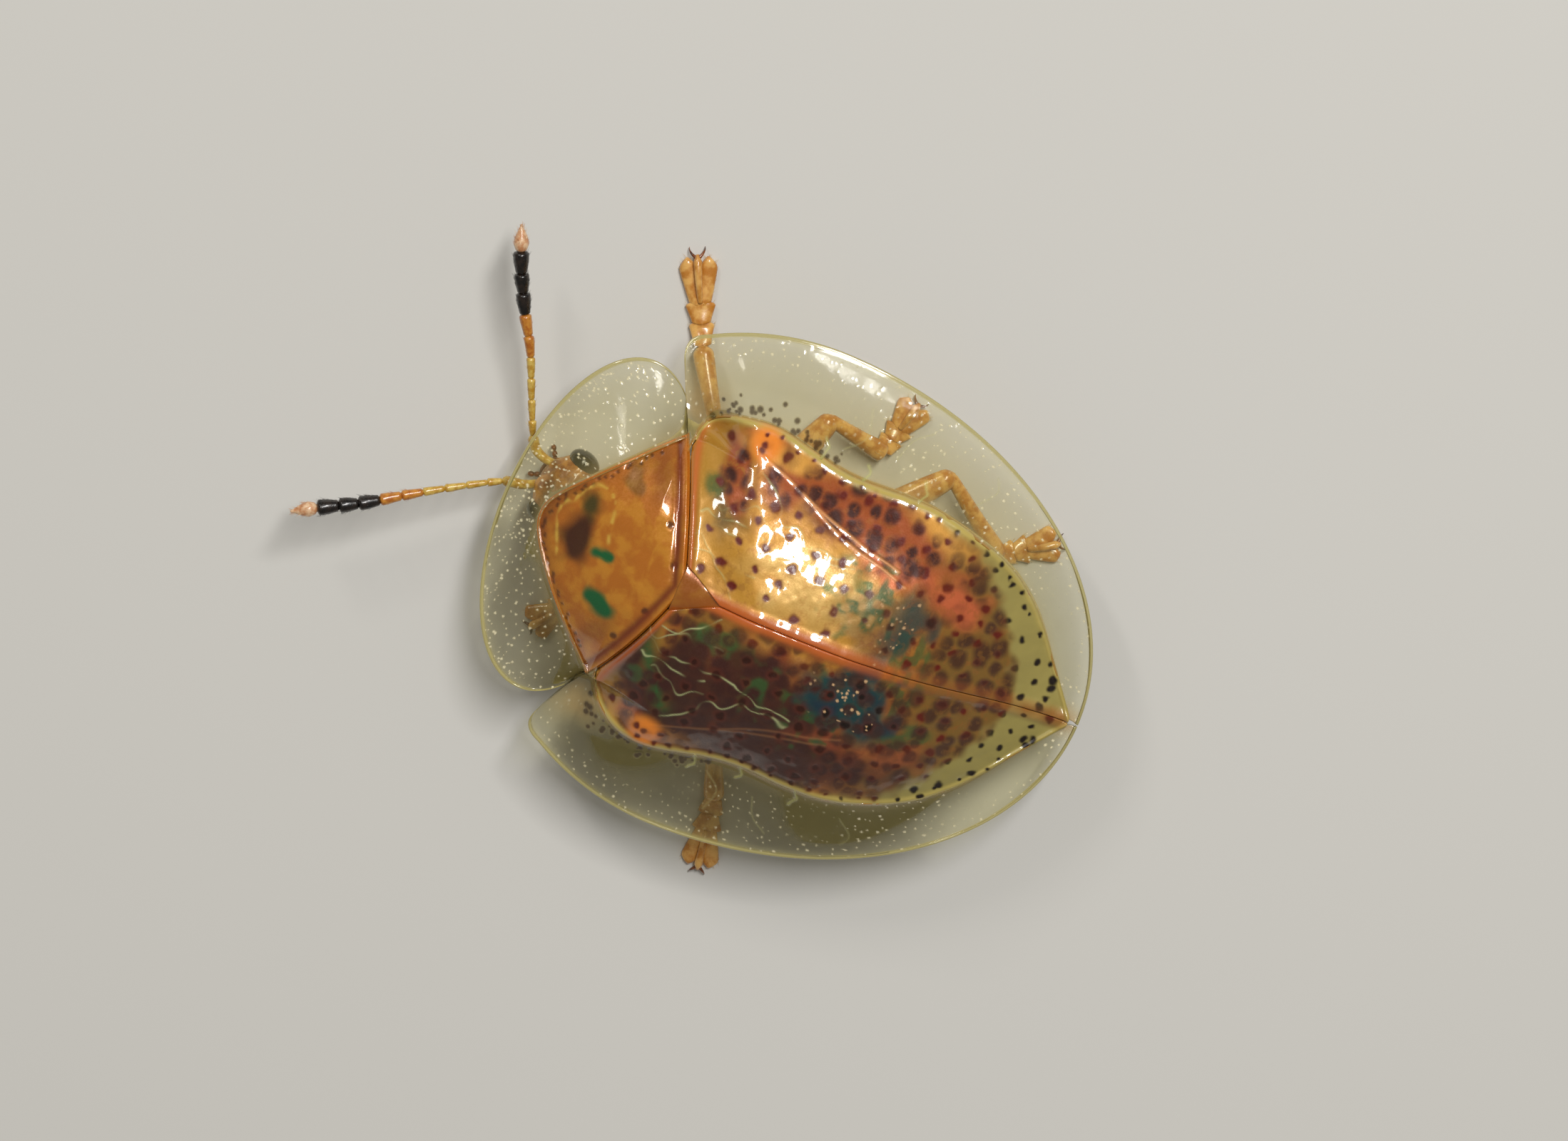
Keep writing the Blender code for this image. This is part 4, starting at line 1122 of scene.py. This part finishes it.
def makeFeeler(sideName):
    side = 1 if sideName == "left" else -1
    socket = headPlace((side * headLook["feelerSockets"], -0.26, -0.02))
    path = curve((socket, *feelerLook["paths"][sideName]), 1400)
    ends = np.append(0, np.cumsum(feelerLook["lengths"]))
    ends /= ends[-1]
    random = np.random.default_rng(81 if side > 0 else 82)
    for kind, first, last, chitin in feelerLook["parts"]:
        parts = []
        for segment in range(first, last):
            p, shape = segmentProfile(kind)
            start, end = ends[segment], ends[segment + 1]
            radius = feelerLook["thickness"][segment] / 2 * shape
            parts.append(loft(tubeRings(walk(path, lerp(start - 0.006, end + 0.003, p)), radius, sides=18)))
            count = feelerLook["hairs"].get(kind, 10)
            along = random.uniform(0.15, 0.95, count)
            direction = walk(path, [end])[0] - walk(path, [start])[0]
            direction /= np.linalg.norm(direction)
            out = random.normal(0, 1, (count, 3))
            out -= (out @ direction)[:, None] * direction
            out /= np.linalg.norm(out, axis=1)[:, None]
            roots = walk(path, lerp(start, end, along)) + out * (np.interp(along, p, radius) * 0.95)[:, None]
            lengths = random.uniform(0.03, 0.06, count)
            parts += bristles(roots, out * 0.5 + direction, lengths, 0.002, seed=83 + segment)
        node = f"feeler_{'stem' if kind == 'ochre' else kind}_{sideName}"
        finishPiece(f"feeler_{kind}_{sideName}_skin", gather(parts), chitin, node)


makeFeeler("right")
makeFeeler("left")
print("feelers made")

# Legs

legLook = {
    "hipHeight": 0.48,
    "kneeHeight": 0.5,
    "ankleHeight": 0.2,
    "coxae": {"front": (0.36, 1.56), "middle": (0.62, 2.56), "hind": (0.68, 3.52)},
    "legs": {
        "front_right": ((1.25, 2.1), (2.22, 1.46), (3.22, 0.98)),
        "front_left": ((1.5, 1.98), (1.06, 1.26), (1.58, 0.86)),
        "middle_right": ((2.08, 3.1), (1.9, 3.8), (2.6, 3.98)),
        "middle_left": ((1.6, 3.2), (2.56, 3.58), (3.48, 3.74)),
        "hind_right": ((2.0, 4.6), (1.3, 5.48), (1.72, 6.1)),
        "hind_left": ((1.8, 4.5), (1.34, 5.36), (1.08, 6.12)),
    },
    "femur": 0.36,
    "tibia": 0.25,
    "footHalfWidth": 0.2,
    # each foot pad: where along the foot, half widths, how far aside, heights of its two ends
    "pads": (
        ((0.0, 0.27), (0.5, 0.55, 0.72, 0.6), (0, 0), (0.15, 0.07)),
        ((0.22, 0.48), (0.5, 0.62, 0.86, 0.6), (0, 0), (0.09, 0.06)),
        ((0.4, 0.92), (0.42, 0.52, 0.55, 0.34), (0.18, 0.6), (0.06, 0.05)),
        ((0.4, 0.92), (0.42, 0.52, 0.55, 0.34), (-0.18, -0.6), (0.06, 0.05)),
    ),
    "padThickness": 0.1,
}


def limb(start, end, thickness, shares, places, flat=1.0, bow=0.0):
    # A length of leg whose thickness follows the shares at the given places
    p = np.linspace(0, 1, 40)
    path = lerp(start, end, p[:, None]) + np.array((0, 0, bow)) * np.sin(p * math.pi)[:, None]
    radius = np.interp(np.linspace(-0.1, 1.1, 48), places, shares)
    radius = thickness / 2 * np.convolve(radius, np.ones(9) / 9, "valid")
    radius *= np.sqrt(np.clip(p / 0.06, 0.04, 1)) * np.sqrt(np.clip((1 - p) / 0.06, 0.04, 1))
    return loft(tubeRings(path, radius, radius * flat, 28))


def footParts(start, toe, random):
    # Pads, the last cleft in two lobes, with a claw joint between them and two hooked claws
    length = np.linalg.norm((toe - start)[:2])
    forward = np.append((toe - start)[:2] / length, 0)
    across = np.array((-forward[1], forward[0], 0))
    width = legLook["footHalfWidth"]
    pads, hairs, claws = [], [], []
    p = np.linspace(0, 1, 24)
    ends = np.sqrt(np.clip(p / 0.1, 0.05, 1)) * np.sqrt(np.clip((1 - p) / 0.16, 0.03, 1))
    for span, widths, aside, heights in legLook["pads"]:
        x = lerp(*span, p) * length
        half = np.interp(p, (0, 0.3, 0.75, 1), widths) * width * ends
        drift = lerp(*aside, smooth(p)) * width
        tall = np.minimum(half, legLook["padThickness"] / 2)
        path = start + forward * x[:, None] + across * drift[:, None]
        path[:, 2] = lerp(*heights, smooth(p * 1.3))
        pads.append(loft(tubeRings(path, half, tall, 22, side=across)))
        for _ in range(30):
            q, sign = random.uniform(0.2, 1), random.choice((-1, 1))
            root = start + forward * np.interp(q, p, x)
            root = root + across * (np.interp(q, p, drift) + sign * np.interp(q, p, half) * 0.9)
            root[2] = np.interp(q, p, path[:, 2]) - 0.01
            lean = across * sign * 0.6 + forward * 0.8 + np.array((0, 0, -0.3))
            hairs.append((root, lean, random.uniform(0.03, 0.06)))
    path = start + forward * (lerp(0.45, 0.95, p) * length)[:, None]
    path[:, 2] = 0.1 + 0.05 * np.sin(p * math.pi)
    shape = np.interp(p, (0, 0.2, 0.85, 1), (0.03, 0.036, 0.05, 0.02))
    pads.append(loft(tubeRings(path, shape, sides=14)))
    for sign in (1, -1):
        q = np.linspace(0, 1, 16)[:, None]
        hook = start + forward * length * (0.92 + 0.1 * q) + across * sign * (0.02 + 0.07 * np.sin(q * 1.7))
        hook[:, 2] = 0.11 - 0.08 * q[:, 0] ** 2
        claws.append(loft(tubeRings(hook, 0.022 * (1 - 0.85 * q[:, 0]), sides=10)))
    roots, leans, sizes = zip(*hairs)
    return pads, claws, bristles(np.array(roots), np.array(leans), sizes, 0.0025, 0.2, seed=91)


def makeLeg(leg):
    pair, sideName = leg.split("_")
    side = 1 if sideName == "left" else -1
    heights = (legLook["kneeHeight"], legLook["ankleHeight"], 0.0)
    knee, ankle, toe = (np.array((side * x, y, z)) for (x, y), z in zip(legLook["legs"][leg], heights))
    out, back = legLook["coxae"][pair]
    hip = np.array((side * out, back, legLook["hipHeight"]))
    random = np.random.default_rng(sum(map(ord, leg)))
    thigh = (knee - hip) / np.linalg.norm(knee - hip)
    shin = (ankle - knee) / np.linalg.norm(ankle - knee)
    trochanter = limb(hip, hip + thigh * 0.42, 0.28, (0.8, 1, 0.7), (0, 0.5, 1))
    femur = limb(hip + thigh * 0.3, knee + thigh * 0.06, legLook["femur"], (0.5, 0.9, 1, 0.8, 0.6),
                 (0, 0.25, 0.5, 0.8, 1), 0.8)
    finishPiece(f"femur_{leg}_skin", gather([trochanter, femur]), legChitin, f"femur_{leg}")
    tibia = limb(knee - shin * 0.05, ankle + shin * 0.03, legLook["tibia"], (0.55, 0.62, 0.78, 1, 0.92),
                 (0, 0.2, 0.6, 0.92, 1), 0.85, 0.03)
    finishPiece(f"tibia_{leg}_skin", tibia, legChitin, f"tibia_{leg}")
    count = 70
    q = random.uniform(0.15, 1, count)
    spread = random.normal(0, 1, (count, 3))
    spread -= (spread @ shin)[:, None] * shin
    spread /= np.linalg.norm(spread, axis=1)[:, None]
    reach = legLook["tibia"] / 2 * np.interp(q, (0, 1), (0.5, 0.78))
    roots = lerp(knee, ankle, q[:, None]) + spread * reach[:, None]
    hairs = bristles(roots, spread * 0.5 + shin, random.uniform(0.05, 0.09, count), 0.0028, seed=92)
    pads, claws, fringe = footParts(ankle * (1, 1, 0), toe, random)
    finishPiece(f"foot_{leg}_pads", gather(pads), legChitin, f"foot_{leg}")
    finishPiece(f"claws_{leg}", gather(claws), clawChitin, f"foot_{leg}")
    finishPiece(f"bristles_{leg}", gather(hairs + fringe), hairChitin, None)


for leg in legLook["legs"]:
    makeLeg(leg)
print("legs made")

# Underside

bodyLook = {
    "prothorax": ((1.1, 2.05), (0.72, 0.98)),  # where it lies, half widths of its two ends
    "thorax": ((2.05, 4.0), (1.12, 1.36)),
    "abdomen": ((3.98, 6.05), 1.32, 2.3),  # where it lies, half width, reach of its ellipse
    "belly": 0.85,
    "abdomenHeights": (0.77, 0.46),
    "bellyBow": 0.5,
    "plate": (0.42, 0.05),  # length of a belly plate and the step to the next
    "roof": (0.75, 0.95),  # how far the body's top stays under the shells, at its middle and its sides
    "coxa": np.array((0.27, 0.27, 0.24)),
    "coxaHeight": 0.58,
}


def bodyHalfWidth(name, y):
    (start, end), *sizes = bodyLook[name]
    if name == "abdomen":
        half, reach = sizes
        return half * np.sqrt(np.maximum(0.01, 1 - ((y - start) / reach) ** 2))
    return lerp(*sizes[0], (y - start) / (end - start))


def bellyHeight(name, x, y):
    start = bodyLook[name][0][0]
    if name != "abdomen":
        # a breastbone down the middle and shallow hollows beside it
        ridge = 0.05 * np.exp(-((x / 0.16) ** 2)) + 0.03 * np.cos((y - start) * 5)
        return bodyLook["belly"] - ridge + 0.06 * np.abs(x) ** 2
    length, step = bodyLook["plate"]
    tile = ((y - start) / length) % 1.0
    low = lerp(*bodyLook["abdomenHeights"], smooth(y - start))
    lift = step * tile - 0.6 * step * smooth((tile - 0.82) / 0.18)
    return low + lift + bodyLook["bellyBow"] * (x / bodyLook["abdomen"][1]) ** 2


def makeBody(name, hips):
    start, end = bodyLook[name][0]
    c = np.sin(np.linspace(-1, 1, 91) * math.pi / 2)[None, :]
    y = np.linspace(start, end, 181)[:, None] + 0.0 * c
    x = c * bodyHalfWidth(name, y)
    underShield = shieldTop(x * 0.5, np.minimum(y, 1.9))
    shell = np.where(y < form["seamMiddleY"], underShield, shellTop(x * 0.7, y))
    belly = bellyHeight(name, x, y)
    roof = np.maximum(shell - lerp(*bodyLook["roof"], np.abs(c)), belly + 0.14)
    belly = lerp(belly, (roof + belly) / 2, np.abs(c) ** 6)
    belly = belly + 0.006 * wander(x, y, 0.12, 95) - 0.002 * wander(x, y, 0.05, 96)
    ends = 0.03 * (1 - smooth(np.minimum(y - start, end - y) / 0.07))
    skin = slab(np.stack([x, y, belly + ends], -1), np.stack([x, y, roof - ends], -1), {}, 6)
    parts = [skin[:2]]
    for pair in hips:
        out, back = legLook["coxae"][pair]
        for side in (1, -1):
            _, points = ballPoints(bodyLook["coxa"], 24, 36)
            parts.append(loft(points + (side * out, back, bodyLook["coxaHeight"])))
    finishPiece(f"{name}_plates", gather(parts), bellyChitin, name)


makeBody("prothorax", ("front",))
makeBody("thorax", ("middle", "hind"))
makeBody("abdomen", ())
print("underside made")

# Camera, light and floor

shot = {
    "target": (-0.366, 3.25, 0.95),
    "distance": 98.0,
    "sideTilt": 12.0,  # the camera looks from the beetle's right side by this much
    "frontTilt": 3.5,
    "roll": 22.4,
    "lens": 200.0,
}


def placeAt(holder, where, towards):
    holder.location = Vector(toWorld(where))
    direction = Vector(np.asarray(towards, float) - np.asarray(where, float))
    holder.rotation_euler = direction.to_track_quat("-Z", "Y").to_euler()


def makeCamera():
    side, front, roll = (math.radians(shot[name]) for name in ("sideTilt", "frontTilt", "roll"))
    back = Vector((-math.sin(side), -math.sin(front) * math.cos(side), math.cos(side) * math.cos(front)))
    back.normalize()
    tailward = Vector((0, 1, 0))
    tailward = (tailward - back * tailward.dot(back)).normalized()
    right = tailward * math.cos(roll) + back.cross(tailward) * math.sin(roll)
    up = back.cross(right)
    camera = bpy.data.cameras.new("camera")
    camera.lens = shot["lens"]
    camera.sensor_width = 36
    camera.clip_start = 0.001
    camera.clip_end = 10
    holder = bpy.data.objects.new("camera", camera)
    bpy.context.scene.collection.objects.link(holder)
    place = Vector(toWorld(shot["target"])) + back * shot["distance"] * mm
    turned = Matrix((right, up, back)).transposed().to_4x4()
    holder.matrix_world = Matrix.Translation(place) @ turned
    bpy.context.scene.camera = holder


lightLook = {
    # name: place in mm on the beetle's scale, width and length in mm, power in W, colour
    "strip": ((-54, 10, 97), (14, 54), 0.085, "#fffdfb"),
    "front": ((-66, -72, 78), (10, 34), 0.022, "#fffaf4"),
}


def makeLights():
    for name, (place, size, power, code) in lightLook.items():
        light = bpy.data.lights.new(name, "AREA")
        light.shape = "RECTANGLE"
        light.size = size[0] * mm
        light.size_y = size[1] * mm
        light.energy = power
        light.color = linear(code)[:3]
        holder = bpy.data.objects.new(name, light)
        bpy.context.scene.collection.objects.link(holder)
        placeAt(holder, place, (0, 3.3, 1))
    world = bpy.data.worlds.new("soft room")
    world.use_nodes = True
    room = world.node_tree.nodes["Background"]
    room.inputs["Color"].default_value = linear("#ebe6dc")
    room.inputs["Strength"].default_value = 0.22
    bpy.context.scene.world = world


def makeFloor():
    # Plain matt card
    mesh = bpy.data.meshes.new("floor")
    builder = bmesh.new()
    bmesh.ops.create_circle(builder, cap_ends=True, segments=96, radius=0.4)
    builder.to_mesh(mesh)
    builder.free()
    floor = bpy.data.objects.new("floor", mesh)
    bpy.context.scene.collection.objects.link(floor)
    material, tree = startMaterial("matt floor card")
    card = {"Base Color": "#d8d7d2", "Roughness": 0.9}
    endMaterial(tree, addNode(tree, "ShaderNodeBsdfPrincipled", card))
    mesh.materials.append(material)


makeCamera()
makeLights()
makeFloor()
bpy.context.scene.view_settings.view_transform = "Standard"
print("camera, light and floor set")
